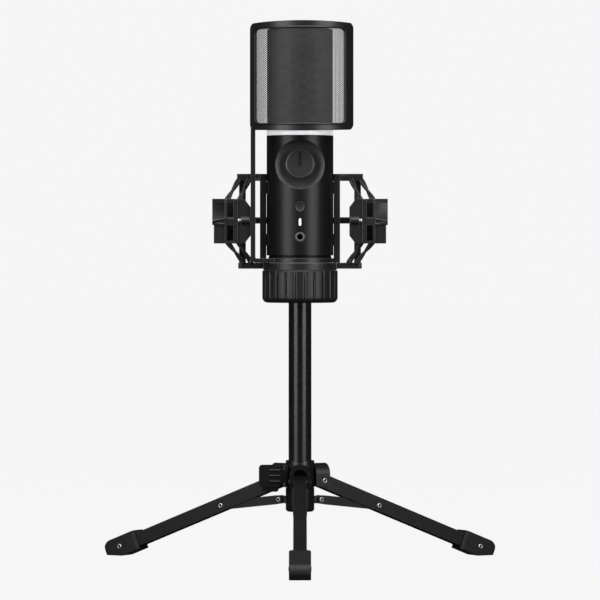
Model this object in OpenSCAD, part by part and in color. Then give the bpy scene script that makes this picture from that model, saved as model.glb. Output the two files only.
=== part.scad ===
// Desktop microphone on a folding tripod, with its shock mount and pop filter.
// Z is up, the floor is z = 0, the front of the microphone faces -Y, and the
// origin is under the middle of the whole object. Millimetres.

/* [Tripod] */
// Diameter of the upright tube
tube_d = 16; // [15:0.5:16.5]
// How far the tube stands behind the middle of the object
tube_y = 38; // [37:0.5:40]
// Slope of an open leg below the horizontal, in degrees
leg_slope = 21.4; // [21:0.1:22]
// Leg length from its hub pivot to its foot rivet
leg_len = 138.9; // [136:0.5:142]
// Width of a leg channel
leg_w = 9.2; // [9:0.1:9.4]
// Depth of a leg channel
leg_h = 9.5; // [9:0.1:9.6]
// Wall of a leg channel
leg_wall = 1.1; // [1:0.05:1.15]
// Distance from the hub pivot to the brace rivet, along the leg
brace_u = 50.1; // [49:0.1:52]
// Width of a rubber foot
foot_w = 14.8; // [13:0.1:16]
// Diameter of the sliding and fixed hubs
hub_d = 20; // [19.6:0.1:20.2]

/* [Microphone] */
// Diameter of the microphone body
mic_d = 46; // [46:0.2:46.4]
// How far the microphone axis stands in front of the middle of the object
mic_front = 3; // [2:0.5:4]
// Height of the bottom edge of the body shell
body_z = 215.2; // [215:0.1:215.4]
// Height of the top edge of the body shell
body_top = 297.8; // [297:0.1:299]
// Height of the light ring
ring_h = 3.8; // [3:0.1:5]
// Height of the very top of the grille
grille_top = 373.5; // [370:0.5:374]
// Wall of the body shell
shell_wall = 2; // [1.8:0.1:2.2]

/* [Controls] */
// Height of the middle of the gain knob
knob_z = 277.7; // [277:0.1:278.5]
// Diameter of the gain knob
knob_d = 19.6; // [18:0.1:20]
// Diameter of the dish around the gain knob
dish_d = 34.2; // [33:0.1:35]
// Width of the glossy control inlay
inlay_w = 9; // [8.8:0.1:9.4]
// Height of the mute button's middle
mute_z = 248.6; // [248:0.1:249]
// Height of the lamp slot's middle
lamp_z = 238.2; // [237.5:0.1:239]
// Height of the headphone socket's middle
jack_z = 227.9; // [227.5:0.1:228.5]

/* [Shock mount] */
// Diameter of the cradle's bottom disc
disc_d = 50.6; // [50:0.2:52]
// Half the length of the cradle's lower wings
wing_low = 42.6; // [42:0.1:43]
// Half the length of the cradle's upper wings
wing_top = 43.4; // [43:0.1:44]
// Outside width over the two cord carriers
carrier_span = 120.6; // [119:0.2:122]
// Diameter of the elastic cord
cord_d = 1.9; // [1.4:0.1:2]
// Diameter of the thumb nut
nut_d = 52; // [50:0.5:52]
// Number of grip flutes on the thumb nut
nut_flutes = 24; // [18:1:30]

/* [Pop filter] */
// Outside radius of the curved filter
pop_r = 39; // [38.5:0.5:40]
// Thickness of the filter's frame
pop_t = 3.4; // [3:0.1:3.6]
// Height of the filter's bottom edge
pop_z = 300.4; // [300:0.2:302]
// Height of the filter's top edge
pop_top = 375.4; // [374:0.2:377]

/* [Hidden] */
$fn = 72;

// Paint
black = "#1a1a1b";
satin = "#222224";
steel = "#b9babd";
rubber = "#141414";
brass = "#c8a35a";
light = "#f3f5f7";
circuit = "#1f4a35";
foam = "#2b2b2b";

eps = 0.01;
run = 0.05;

// Azimuths of the three legs, seen from above, from +X
front_az = -90;
left_az = 150;
right_az = 30;

// Tripod, in the plane of a leg: r is out from the tube's axis
tube_r = tube_d / 2;
tube_wall = 1.2;
tube_z = 37;
tube_top = 183.6;
hub_r = hub_d / 2;
low_z = 35.9;
low_top = 52.4;
slide_z = 52.8;
slide_top = 69.2;
collar_top = 71.7;
pivot_r = 16;
pivot_z = 57.4;
pin_r = 1.6;
rivet_head_r = 1.75;
rivet_head_t = 0.35;
ear_r = 15.9;
ear_z = 43.9;
ear_t = 3.4;
ear_tip = 2.6;
foot_z = pivot_z - leg_len * sin(leg_slope);

// Brace: from its rivet on the leg to the ear of the lower hub
brace_w = 6.6;
brace_h = 6.4;
brace_wall = 1.1;
brace_drop = -0.8;
brace_tip = 2.9;
brace_web = 27;
rivet_r = pivot_r + brace_u * cos(leg_slope) + brace_drop * sin(leg_slope);
rivet_z = pivot_z - brace_u * sin(leg_slope) + brace_drop * cos(leg_slope);
brace_len = norm([rivet_r - ear_r, rivet_z - ear_z]);
brace_rise = atan2(ear_z - rivet_z, rivet_r - ear_r);

// Clevis of the sliding hub
clevis_w = 14.8;
clevis_gap = 10;
clevis_r = 20.2;
clevis_z = 53.4;
clevis_arch = 62.2;

// Lock lever, beside the front clevis on the left
lever_x = -10.3;
lever_y = tube_y - 8.6;
lever_t = 5.2;
lever_z = 53.5;
lever_top = 69;
lever_end = -28.7;
lug_r = 2.6;

// Tilt knuckle on top of the tube
tilt_z = 212;
socket_r = 10.5;
socket_top = 199;
knuckle_r = 9;
bolt_r = 3;

// Microphone
mic_y = -mic_front;
mic_r = mic_d / 2;
base_r = 20.7;
base_z = 211.2;
collar_r = 16.5;
collar_in = 13;
collar_z = 192;
dish_r = dish_d / 2;
dish_y = -15;
knob_r = knob_d / 2;
ring_top = body_top + ring_h;
inlay_z = 222.5;
inlay_top = 253.1;
button_r = 3.8;

// Shock mount
disc_z = 205;
disc_top = 210.3;
post_in = 23.5;
post_out = 27.6;
outer_post_in = 37.4;
wing_y = 4.6;
wing_z = 266.7;
wing_z_top = 271.5;
carrier_in = 34.2;
carrier_out = carrier_span / 2;
carrier_z = 223.5;
carrier_top = 254.2;
carrier_y = 12.5;
plate_t = 3;
rib_low = 236.2;
rib_high = 240.7;
boss_in = 34.6;
boss_out = 40.5;
boss_r = 2.6;
screw_r = 1;
screw_z = 239;
band_y = 38;
band_t = 4;
band_z = 237.5;
band_top = 242;
band_half = 51;
nut_z = 182.7;
nut_top = 204.9;

// Pop filter
pop_x = 3.2;
pop_left = -74.6;
pop_right = 58.9;
pop_crown = 1.2;
mesh_t = 0.5;
window_left = -29.8;
window_right = 30.1;
window_z = pop_z + 4.7;
window_top = pop_top - 5.2;
arm_x = -33.9;
arm_t = 3.2;
arm_y = mic_y - 11.2;
arm_w = 8.2;

// ---------------------------------------------------------------- helpers

// Turns what is drawn along +X to a leg's azimuth about the tube's axis
module at_leg(azimuth) {
    translate([0, tube_y, 0]) rotate([0, 0, azimuth]) children();
}

// Leg frame: x runs down the leg from its hub pivot, z stands square to it
module on_leg(azimuth) {
    at_leg(azimuth) translate([pivot_r, 0, pivot_z]) rotate([0, leg_slope, 0]) children();
}

// Brace frame: x runs from the leg rivet to the lower hub's ear
module on_brace(azimuth) {
    at_leg(azimuth) translate([rivet_r, 0, rivet_z])
        rotate([0, brace_rise, 0]) mirror([1, 0, 0]) children();
}

// Cylinder along Y, centred on y = 0
module rod_y(r, length) {
    rotate([90, 0, 0]) cylinder(r = r, h = length, center = true);
}

// Cylinder along X, from x = 0
module rod_x(r, length) {
    rotate([0, 90, 0]) cylinder(r = r, h = length);
}

// Flat outline with round corners, from its low corner
module round_rect(size, r) {
    translate([r, 0]) square([size[0] - 2 * r, size[1]]);
    translate([0, r]) square([size[0], size[1] - 2 * r]);
    for (x = [r, size[0] - r], y = [r, size[1] - r])
        translate([x, y]) circle(r = r, $fn = 32);
}

// An X-Z outline given thickness from y_front back to y_back
module slab(y_front, y_back) {
    translate([0, y_back, 0]) rotate([90, 0, 0]) linear_extrude(y_back - y_front) children();
}

// Draws its children about the microphone's axis
module at_mic() {
    translate([0, mic_y, 0]) children();
}

// Ring between two radii
module ring(r_out, r_in, z0, z1) {
    translate([0, 0, z0]) difference() {
        cylinder(r = r_out, h = z1 - z0);
        translate([0, 0, -1]) cylinder(r = r_in, h = z1 - z0 + 2);
    }
}

// A straight cord between two points
module strand(from, to) {
    run_xyz = to - from;
    length = norm(run_xyz);
    turn = atan2(run_xyz[1], run_xyz[0]);
    lean = acos(run_xyz[2] / length);
    translate(from) rotate([0, lean, turn]) cylinder(d = cord_d, h = length, $fn = 24);
}

// ---------------------------------------------------------------- stand

module stand_tube() {
    color(satin) at_leg(0) ring(tube_r, tube_r - tube_wall, tube_z, tube_top);
}

module lower_hub() {
    edge = 2;
    notch_w = 7.2;
    notch_r = tube_r + 0.4;
    notch_top = 41;
    color(black) difference() {
        union() {
            at_leg(0) rotate_extrude() {
                translate([0, low_z + edge]) square([hub_r, low_top - low_z - edge]);
                translate([0, low_z]) square([hub_r - edge, edge]);
                translate([hub_r - edge, low_z + edge]) circle(r = edge, $fn = 32);
            }
            for (azimuth = [front_az, left_az, right_az]) at_leg(azimuth) {
                translate([tube_r + 0.5, -ear_t / 2, ear_z - ear_tip])
                    cube([ear_r - tube_r - 0.5, ear_t, 2 * ear_tip]);
                translate([ear_r, 0, ear_z]) rod_y(ear_tip, ear_t);
            }
        }
        at_leg(0) translate([0, 0, tube_z]) cylinder(r = tube_r, h = low_top);
        for (azimuth = [front_az, left_az, right_az]) at_leg(azimuth) {
            translate([notch_r, -notch_w / 2, low_z - 1])
                cube([hub_r, notch_w, notch_top - low_z + 1]);
            translate([ear_r, 0, ear_z]) rod_y(pin_r * 0.6, ear_t + 2);
        }
    }
}

module tube_plug() {
    stud_r = 4.7;
    stud_top = 191;
    color(steel) at_leg(0) {
        translate([0, 0, tube_top - 14]) cylinder(r = tube_r - tube_wall, h = 14);
        translate([0, 0, tube_top - eps]) cylinder(r = stud_r, h = stud_top - tube_top);
    }
}

module swivel_socket() {
    cheek_in = 5.1;
    cheek_t = 4.2;
    stud_r = 4.7;
    color(black) difference() {
        union() {
            at_leg(0) translate([0, 0, tube_top]) cylinder(r = socket_r, h = socket_top - tube_top);
            for (side = [-1, 1]) translate([side * (cheek_in + cheek_t / 2), tube_y, 0]) {
                translate([-cheek_t / 2, -knuckle_r, socket_top - 3])
                    cube([cheek_t, 2 * knuckle_r, tilt_z - socket_top + 3]);
                translate([-cheek_t / 2, 0, tilt_z]) rod_x(knuckle_r, cheek_t);
            }
        }
        at_leg(0) translate([0, 0, tube_top - 1]) cylinder(r = stud_r, h = 8.4);
        translate([-20, tube_y, tilt_z]) rod_x(bolt_r, 40);
        translate([0, tube_y, 0]) intersection() {
            ring(socket_r + 5, socket_r, tube_top - 1, tilt_z);
            translate([-20, -20, tube_top - 1]) cube([40, 40, socket_top - tube_top]);
        }
    }
}

module tilt_bolt() {
    head_t = 3;
    color(steel) translate([-9.3, tube_y, tilt_z]) {
        rod_x(bolt_r, 27);
        translate([-head_t, 0, 0]) rotate([0, 90, 0]) cylinder(r = 5.5, h = head_t, $fn = 6);
    }
}

// ---------------------------------------------------------------- sliding hub

// Arch outline of a clevis, looking along the leg
module clevis_outline(width, foot, arch) {
    translate([-width / 2, foot]) square([width, arch - foot]);
    translate([0, arch]) circle(d = width);
}

module slider_hub() {
    inner_r = hub_r + 0.6;
    lug_t = 2.7;
    shoe_w = 5;
    color(black) difference() {
        union() {
            at_leg(0) ring(hub_r, tube_r + run, slide_z, collar_top);
            for (azimuth = [front_az, left_az, right_az]) at_leg(azimuth) difference() {
                translate([tube_r + 1, 0, 0]) rotate([90, 0, 90])
                    linear_extrude(clevis_r - tube_r - 1)
                        clevis_outline(clevis_w, clevis_z, clevis_arch);
                translate([inner_r, 0, 0]) rotate([90, 0, 90]) linear_extrude(clevis_r)
                    clevis_outline(clevis_gap, clevis_z - 1, clevis_arch - 1);
                translate([0, 0, pivot_z]) translate([pivot_r, 0, 0]) rod_y(pin_r, 30);
            }
            for (z = [lever_z, lever_top - lug_t]) translate([lever_x, lever_y, z])
                cylinder(r = lug_r, h = lug_t);
            for (z = [lever_z, lever_top - lug_t]) translate([lever_x, lever_y, z])
                rotate([0, 0, 38]) translate([0, -1.9, 0]) cube([7, 3.8, lug_t]);
        }
        at_leg(0) translate([0, 0, slide_z - 1]) cylinder(r = tube_r + run, h = 30);
        translate([lever_x, lever_y, slide_z]) cylinder(r = 1.2, h = 20);
        at_leg(220) translate([0, -shoe_w / 2, 58]) cube([hub_r + 1, shoe_w, 6]);
    }
}

module leg_pins() {
    color(steel) for (azimuth = [front_az, left_az, right_az]) at_leg(azimuth)
        translate([pivot_r, 0, pivot_z]) {
            rod_y(pin_r, clevis_w);
            for (side = [-1, 1]) translate([0, side * (clevis_w + rivet_head_t) / 2, 0])
                rod_y(rivet_head_r, rivet_head_t);
        }
}

module lever_pin() {
    color(steel) translate([lever_x, lever_y, lever_z]) cylinder(r = 1.2, h = lever_top - lever_z);
}

module lock_shoe() {
    color(brass) at_leg(220) intersection() {
        translate([0, -2.45, 58.1]) cube([hub_r + 0.6, 4.9, 5.8]);
        ring(hub_r + 2, tube_r + run, 50, 70);
    }
}

module lock_lever() {
    barrel_z = lever_z + 3;
    barrel_top = lever_top - 3;
    arm_start = lever_x - lug_r - 0.4;
    rib_start = -21.3;
    heel = [-26.6, -15];
    color(black) difference() {
        union() {
            translate([lever_x, lever_y, barrel_z]) cylinder(r = lug_r, h = barrel_top - barrel_z);
            translate([arm_start - 1, lever_y - lug_r, barrel_z])
                cube([lever_x - arm_start + 1, 2 * lug_r - 0.8, barrel_top - barrel_z]);
            translate([lever_end, lever_y + lever_t / 2, lever_z]) rotate([90, 0, 0])
                linear_extrude(lever_t) round_rect([arm_start - lever_end, lever_top - lever_z], 2.4);
            for (z = [57.4, 61.3, 65.2]) translate([rib_start, lever_y - lever_t / 2, z])
                rod_x(0.9, arm_start - rib_start - 0.6);
            translate([heel[0], lever_y + 2, lever_z - 3.2]) rotate([90, 0, 0])
                linear_extrude(4) round_rect([heel[1] - heel[0], 5], 1.5);
        }
        translate([lever_x, lever_y, slide_z]) cylinder(r = 1.2 + run, h = 20);
    }
}

// ---------------------------------------------------------------- legs, feet and braces

module leg(azimuth) {
    inside_w = leg_w - 2 * leg_wall;
    end_u = leg_len + 7;
    color(satin) on_leg(azimuth) difference() {
        union() {
            translate([0, -leg_w / 2, -leg_h / 2]) cube([end_u, leg_w, leg_h]);
            rod_y(leg_h / 2, leg_w);
        }
        translate([-leg_h, -inside_w / 2, -leg_h]) cube([end_u + 2 * leg_h, inside_w, 1.5 * leg_h - leg_wall]);
        rod_y(pin_r + run, leg_w + 2);
        translate([brace_u, 0, brace_drop]) rod_y(pin_r, leg_w + 2);
        translate([leg_len, 0, 0]) rod_y(pin_r, leg_w + 2);
    }
}

module foot(azimuth) {
    sleeve_u = leg_len - 15;
    round_u = leg_len + 6.2;
    round_r = 6.9;
    corner = 2.2;
    color(rubber) difference() {
        intersection() {
            on_leg(azimuth) intersection() {
                union() {
                    translate([sleeve_u, -foot_w / 2, -round_r])
                        cube([round_u - sleeve_u, foot_w, 2 * round_r]);
                    translate([round_u, 0, 0]) rod_y(round_r, foot_w);
                }
                translate([sleeve_u, -foot_w / 2, -15]) linear_extrude(30)
                    round_rect([round_u + round_r - sleeve_u, foot_w], corner);
            }
            at_leg(azimuth) translate([pivot_r, -20, 0]) cube([200, 40, 40]);
        }
        on_leg(azimuth) {
            translate([sleeve_u - 1, -leg_w / 2, -leg_h / 2]) cube([23, leg_w, leg_h]);
            translate([leg_len, 0, 0]) rod_y(pin_r, foot_w + 2);
        }
    }
}

module leg_rivets(azimuth) {
    color(steel) on_leg(azimuth) {
        translate([leg_len, 0, 0]) rod_y(pin_r, foot_w);
        for (side = [-1, 1]) translate([leg_len, side * (foot_w + rivet_head_t) / 2, 0])
            rod_y(rivet_head_r, rivet_head_t);
        translate([brace_u, 0, brace_drop]) {
            rod_y(pin_r, leg_w);
            for (side = [-1, 1]) translate([0, side * (leg_w + rivet_head_t) / 2, 0])
                rod_y(rivet_head_r, rivet_head_t);
        }
    }
}

module brace(azimuth) {
    inside_w = brace_w - 2 * brace_wall;
    square_u = brace_len - 6;
    color(satin) on_brace(azimuth) difference() {
        translate([0, brace_w / 2, 0]) rotate([90, 0, 0]) linear_extrude(brace_w) {
            circle(d = brace_h);
            translate([0, -brace_h / 2]) square([square_u, brace_h]);
            polygon([[square_u - eps, -brace_h / 2], [brace_len, -brace_tip],
                     [brace_len, brace_tip], [square_u - eps, brace_h / 2]]);
            translate([brace_len, 0]) circle(r = brace_tip);
        }
        translate([-brace_h, -inside_w / 2, -brace_h / 2 + brace_wall])
            cube([2 * brace_len, inside_w, 2 * brace_h]);
        translate([brace_web, -inside_w / 2, -brace_h]) cube([brace_len, inside_w, 2 * brace_h]);
        translate([-brace_h, -inside_w / 2, -brace_h]) cube([brace_h + 3, inside_w, 2 * brace_h]);
        rod_y(pin_r + run, brace_w + 2);
        translate([brace_len, 0, 0]) rod_y(pin_r * 0.6, brace_w + 2);
    }
}

// ---------------------------------------------------------------- yoke and cords

module yoke_stem() {
    stem_w = 9.6;
    stem_y = 5;
    plate_w = 18;
    plate_z = 227;
    color(black) difference() {
        union() {
            translate([-stem_w / 2, tube_y, tilt_z]) rod_x(knuckle_r, stem_w);
            translate([-stem_w / 2, tube_y - stem_y, tilt_z])
                cube([stem_w, 2 * stem_y, plate_z - tilt_z + 3]);
            translate([-plate_w / 2, band_y - 5, plate_z]) cube([plate_w, 5, band_top - plate_z + 2]);
        }
        translate([-20, tube_y, tilt_z]) rod_x(bolt_r + run, 40);
        translate([-20, band_y, plate_z + 3]) cube([40, 20, 20]);
    }
}

module yoke_band() {
    corner = 9;
    front_y = mic_y + carrier_y;
    back_y = band_y + band_t;
    color(black) translate([0, 0, band_z]) linear_extrude(band_top - band_z) difference() {
        translate([-band_half, front_y - 30])
            round_rect([2 * band_half, back_y - front_y + 30], corner);
        translate([-band_half + band_t, front_y - 40])
            round_rect([2 * (band_half - band_t), back_y - front_y + 40 - band_t], corner - band_t);
        translate([-100, front_y - 100]) square([200, 100]);
    }
}

// Front outline of a cord carrier: a stepped outer panel and a chamfered inner one
module carrier_outline() {
    cut = 4.2;
    step = 1.1;
    polygon([
        [carrier_out - step, carrier_z], [carrier_out - step, rib_low], [carrier_out, rib_low],
        [carrier_out, carrier_top], [carrier_in + cut, carrier_top],
        [carrier_in, carrier_top - 1.3 * cut], [carrier_in, carrier_z + 1.3 * cut],
        [carrier_in + cut, carrier_z]
    ]);
}

// Raised strip on a carrier's front face, from corner to corner
module raised(x, z, proud) {
    slab(-carrier_y - proud, -carrier_y) translate([x[0], z[0]])
        square([x[1] - x[0], z[1] - z[0]]);
}

module carrier(side) {
    wall = 3;
    slot = [45.7, 50.2];
    rail_in = 2.8;
    rail_out = 1.4;
    rib = 1.4;
    lip = 0.7;
    lip_h = 2.7;
    margin = 0.6;
    rail_end = slot[1] + rail_out;
    rail_z = [carrier_z + margin, carrier_top - margin];
    color(black) mirror([side < 0 ? 1 : 0, 0, 0]) at_mic() {
        difference() {
            slab(-carrier_y, carrier_y) carrier_outline();
            translate([0, -carrier_y + plate_t, carrier_z - 1])
                cube([carrier_out - wall, 2 * (carrier_y - plate_t), 40]);
            for (z = [[225.2, rib_low - 0.3], [rib_high + 0.9, 251.4]])
                translate([slot[0], -carrier_y - 1, z[0]])
                    cube([slot[1] - slot[0], plate_t + 2, z[1] - z[0]]);
            translate([boss_in - 1, -carrier_y, screw_z]) rod_x(screw_r + run, boss_out - boss_in + 2);
        }
        raised([slot[0] - rail_in, slot[0]], rail_z, rib);
        raised([slot[1], rail_end], rail_z, rib);
        raised(slot, [rib_low, rib_high], rib);
        raised([rail_end, carrier_out], [carrier_top - lip_h, carrier_top], lip);
        difference() {
            slab(-carrier_y - rib, -carrier_y) polygon([
                [rail_end, rib_low], [carrier_out, rib_low + 0.7],
                [carrier_out, rib_high - 1.6], [rail_end, rib_high]
            ]);
            slab(-carrier_y - rib - 1, -carrier_y - rib + 0.7) polygon([
                [rail_end + 0.4, rib_low + 1], [rail_end + 0.4, rib_high - 1],
                [carrier_out - 1, rib_high - 2.6]
            ]);
        }
        difference() {
            translate([boss_in, -carrier_y, screw_z]) rod_x(boss_r, boss_out - boss_in);
            translate([boss_in - 1, -carrier_y, screw_z - 5]) cube([20, 10, 10]);
            translate([boss_in - 1, -carrier_y, screw_z]) rod_x(screw_r + run, 20);
        }
    }
}

// Screws that lie along the bosses, with the head at the outer end
module carrier_screws() {
    color(steel) for (side = [0, 1]) mirror([side, 0, 0]) at_mic() {
        translate([boss_in + 0.4, -carrier_y, screw_z]) rod_x(screw_r, boss_out - boss_in - 0.4);
        difference() {
            translate([boss_out, -carrier_y, screw_z]) rod_x(1.8, 2.2);
            translate([boss_out - 1, -carrier_y - 0.05, screw_z - 3]) cube([4, 6, 6]);
        }
    }
}

// Hook points of one cord, for the four places around each side
upper_hooks = [[[42.2, 265.6], [50.6, 254.7]], [[35.4, 266.2], [41.9, 254.7]]];
lower_hooks = [[[38.6, 211.6], [49.9, 223]], [[33.4, 211.6], [42.4, 223]]];

module cords(hooks) {
    color("#2a2a2c") for (side = [-1, 1], face = [-1, 1], hook = hooks)
        at_mic() strand([side * hook[0][0], face * 5.9, hook[0][1]],
                        [side * hook[1][0], face * 9.6, hook[1][1]]);
}

module cords_upper() { cords(upper_hooks); }

module cords_lower() { cords(lower_hooks); }

module tilt_knob() {
    knob_x = 9.7;
    knob_t = 10.5;
    lobes = 8;
    color(black) translate([knob_x, tube_y, tilt_z]) difference() {
        rod_x(7.6, knob_t);
        translate([-1, 0, 0]) rod_x(bolt_r + run, 9.6);
        for (a = [0 : 360 / lobes : 359]) rotate([a, 0, 0])
            translate([-1, 0, 8.6]) rod_x(1.7, knob_t + 2);
    }
}

// ---------------------------------------------------------------- cradle

module cradle_base() {
    wing_h = disc_top - disc_z - 1.1;
    color(black) at_mic() difference() {
        union() {
            translate([0, 0, disc_z]) cylinder(r = disc_d / 2, h = disc_top - disc_z);
            translate([-wing_low, -wing_y, disc_top - wing_h]) linear_extrude(wing_h)
                round_rect([2 * wing_low, 2 * wing_y], 2);
        }
        translate([0, 0, disc_z - 1]) cylinder(r = collar_r + 0.5, h = 10);
    }
}

module cradle_band() {
    color(black) at_mic() intersection() {
        ring(post_out, post_in, wing_z, wing_z_top);
        translate([-50, 3.8, wing_z - 1]) cube([100, 50, 10]);
    }
}

module cradle_side(side) {
    post_y = 3.8;
    lip = 0.6;
    color(black) mirror([side < 0 ? 1 : 0, 0, 0]) at_mic() {
        difference() {
            translate([post_in - 2, -post_y, disc_top])
                cube([post_out - post_in + 2, 2 * post_y, wing_z_top - disc_top]);
            translate([0, 0, disc_top - 1]) cylinder(r = post_in, h = 70);
        }
        translate([post_out, -wing_y, wing_z])
            cube([wing_top - post_out, 2 * wing_y, wing_z_top - wing_z]);
        translate([wing_top - 2.4, -wing_y, wing_z - lip])
            cube([2.4, 2 * wing_y, wing_z_top - wing_z + lip]);
        translate([outer_post_in, -3, disc_top])
            cube([wing_low - 0.6 - outer_post_in, 6, wing_z - disc_top]);
    }
}

module cradle_pads() {
    pad_half = 8;
    color(rubber) at_mic() for (z = [222, 258]) for (side = [-1, 1]) intersection() {
        ring(post_in, mic_r, z, z + 8);
        rotate([0, 0, side > 0 ? 0 : 180]) rotate([0, 0, -pad_half]) translate([0, 0, z])
            cube([40, 40 * sin(2 * pad_half), 8]);
    }
}

// ---------------------------------------------------------------- microphone

// Pill outline of the control inlay, seen from the front
module pill(width, z0, z1) {
    r = width / 2;
    translate([-r, z0 + r]) square([width, z1 - z0 - width]);
    translate([0, z0 + r]) circle(r = r);
    translate([0, z1 - r]) circle(r = r);
}

module mic_body() {
    color(satin) at_mic() difference() {
        ring(mic_r, mic_r - shell_wall, body_z, body_top);
        translate([0, -mic_r, knob_z]) rod_y(dish_r, 2 * mic_r - 16);
        slab(-mic_r - 1, -mic_r + 8) pill(inlay_w, inlay_z, inlay_top);
    }
}

module mic_base() {
    taper = 0.3;
    floor_t = 2;
    color(black) at_mic() difference() {
        rotate_extrude() polygon([[0, base_z], [base_r - taper, base_z],
                                  [base_r, body_z], [0, body_z]]);
        translate([0, 0, base_z + floor_t]) cylinder(r = base_r - 2.5, h = 10);
        translate([-4.7, -1.9, base_z - 1]) cube([9.4, 3.8, 10]);
    }
}

module thread_collar() {
    color(steel) at_mic() ring(collar_r, collar_in, collar_z, base_z);
}

module usb_port() {
    color(steel) at_mic() difference() {
        translate([-4.6, -1.8, base_z - 1.4]) cube([9.2, 3.6, 8.4]);
        translate([-4.2, -1.4, base_z - 3]) cube([8.4, 2.8, 8]);
    }
}

module main_board() {
    color(circuit) at_mic() translate([-16, -8, body_z + 4]) cube([32, 1.6, 76]);
}

module chassis() {
    color("#3a3a3d") at_mic() difference() {
        union() {
            translate([-17.5, -6.4, body_z + 4]) cube([35, 2.6, 76]);
            translate([0, 0, body_z + 80]) cylinder(r = mic_r - shell_wall, h = 2.4);
            translate([0, 0, body_z + 82.4]) cylinder(r = 10, h = ring_top - body_z - 82.4);
            translate([0, 6, ring_top - eps]) cylinder(r = 3, h = 38);
            translate([-6, -6.4, base_z + 7]) cube([12, 9.6, 1.8]);
        }
        translate([-10, -6.5, body_z + 50]) cube([20, 3, 12]);
    }
}

module light_ring() {
    color(light) at_mic() ring(mic_r, mic_r - 3, body_top, ring_top);
}

module grille() {
    color(black) at_mic() ring(mic_r - 0.4, mic_r - 1.4, ring_top, grille_top - 5);
}

module grille_cap() {
    edge = 5;
    color(black) at_mic() difference() {
        rotate_extrude() {
            translate([0, grille_top - edge]) square([mic_r - 0.4 - edge, edge]);
            intersection() {
                translate([mic_r - 0.4 - edge, grille_top - edge]) circle(r = edge);
                translate([0, grille_top - edge]) square([mic_r, edge]);
            }
        }
        translate([0, 0, grille_top - edge - 1]) cylinder(r = mic_r - 3, h = edge);
    }
}

module foam_liner() {
    color(foam) at_mic() ring(mic_r - 1.5, mic_r - 4.5, ring_top + 0.3, grille_top - 5.3);
}

module capsule() {
    color(brass) at_mic() translate([0, -1, 340]) rod_y(13, 8);
}

module knob_dish() {
    neck = 10.8;
    color(satin) at_mic() difference() {
        intersection() {
            translate([0, -mic_r, knob_z]) rod_y(dish_r, 2 * mic_r - 17);
            translate([0, 0, knob_z - 20]) cylinder(r = mic_r, h = 40);
            translate([-20, -mic_r - 1, knob_z - 20]) cube([40, mic_r - 11.5, 40]);
        }
        translate([0, dish_y, knob_z]) rotate([90, 0, 0]) cylinder(r1 = neck, r2 = dish_r + 0.4, h = 9);
        translate([0, -10, knob_z]) rod_y(3.6, 12);
    }
}

module potentiometer() {
    color(steel) at_mic() difference() {
        union() {
            translate([0, -10.2, knob_z]) rod_y(8, 4.4);
            translate([0, -13.4, knob_z]) rod_y(3.5, 2.4);
        }
        translate([0, -12.6, knob_z]) rod_y(2.5 + run, 5);
    }
}

module gain_shaft() {
    color(steel) at_mic() translate([0, -15.4, knob_z]) rod_y(2.5, 9);
}

module gain_knob() {
    back_y = dish_y - 0.4;
    front_y = -21.7;
    groove_w = 2.2;
    groove_h = 9.4;
    color(black) at_mic() difference() {
        translate([0, (back_y + front_y) / 2, knob_z]) rod_y(knob_r, back_y - front_y);
        translate([-groove_w / 2, front_y - 1, knob_z - 0.8]) cube([groove_w, 1.8, groove_h]);
        translate([0, -15.6, knob_z]) rod_y(2.5, 8.6);
    }
}

module control_inlay() {
    color("#101011") at_mic() difference() {
        intersection() {
            slab(-mic_r - 1, -mic_r + 6) pill(inlay_w, inlay_z, inlay_top);
            ring(mic_r - 0.1, mic_r - shell_wall, inlay_z - 1, inlay_top + 1);
        }
        translate([0, -mic_r, mute_z]) rod_y(button_r + 0.2, 12);
        translate([0, -mic_r, jack_z]) rod_y(3.5, 12);
        translate([-0.9, -mic_r - 2, lamp_z - 2.6]) cube([1.8, 8, 5.2]);
    }
}

module mute_button() {
    color(black) at_mic() translate([0, -21.5, mute_z]) rod_y(button_r, 3);
}

module mute_switch() {
    color(steel) at_mic() {
        translate([-3, -16, mute_z - 3]) cube([6, 8, 6]);
        translate([0, -17, mute_z]) rod_y(1.7, 4);
    }
}

module led_window() {
    color(light) at_mic() translate([-0.9, -mic_r + 0.2, lamp_z - 2.6]) cube([1.8, 14.6, 5.2]);
}

module headphone_jack() {
    color("#2a2a2a") at_mic() difference() {
        union() {
            translate([0, -mic_r + 1.3, jack_z]) rod_y(3.5, 3.0);
            translate([-4, -20.4, jack_z - 3.4]) cube([8, 12.4, 6.8]);
        }
        translate([0, -mic_r + 6.2, jack_z]) rod_y(1.8, 14);
    }
}

// ---------------------------------------------------------------- thumb nut

module thumb_nut() {
    edge = 3.6;
    r = nut_d / 2;
    color(black) at_mic() difference() {
        rotate_extrude() polygon([
            [collar_r + 0.1, nut_z], [r - edge, nut_z], [r - edge * 0.3, nut_z + edge * 0.3],
            [r, nut_z + edge], [r, nut_top], [collar_r + 0.1, nut_top]
        ]);
        for (i = [0 : nut_flutes - 1]) rotate([0, 0, (i + 0.5) * 360 / nut_flutes])
            translate([r + 0.35, 0, nut_z - 1]) cylinder(r = 0.9, h = nut_top - nut_z - 0.4, $fn = 24);
    }
}

// ---------------------------------------------------------------- pop filter

// Part of a curved sheet between two bearings, counted from the front, left below zero
module bent(r_out, r_in, from, to, z0, z1) {
    translate([pop_x, mic_y, z0]) rotate([0, 0, from - 90]) rotate_extrude(angle = to - from)
        translate([r_in, 0]) square([r_out - r_in, z1 - z0]);
}

// Front outline with crowned edges and round corners
module crowned(left, right, low, high, corner) {
    half = (right - left) / 2;
    bow = (half * half + pop_crown * pop_crown) / (2 * pop_crown);
    middle = (left + right) / 2;
    intersection() {
        translate([left, low]) round_rect([right - left, high - low], corner);
        translate([middle, high - bow]) circle(r = bow, $fn = 360);
        translate([middle, low + bow]) circle(r = bow, $fn = 360);
    }
}

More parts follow.
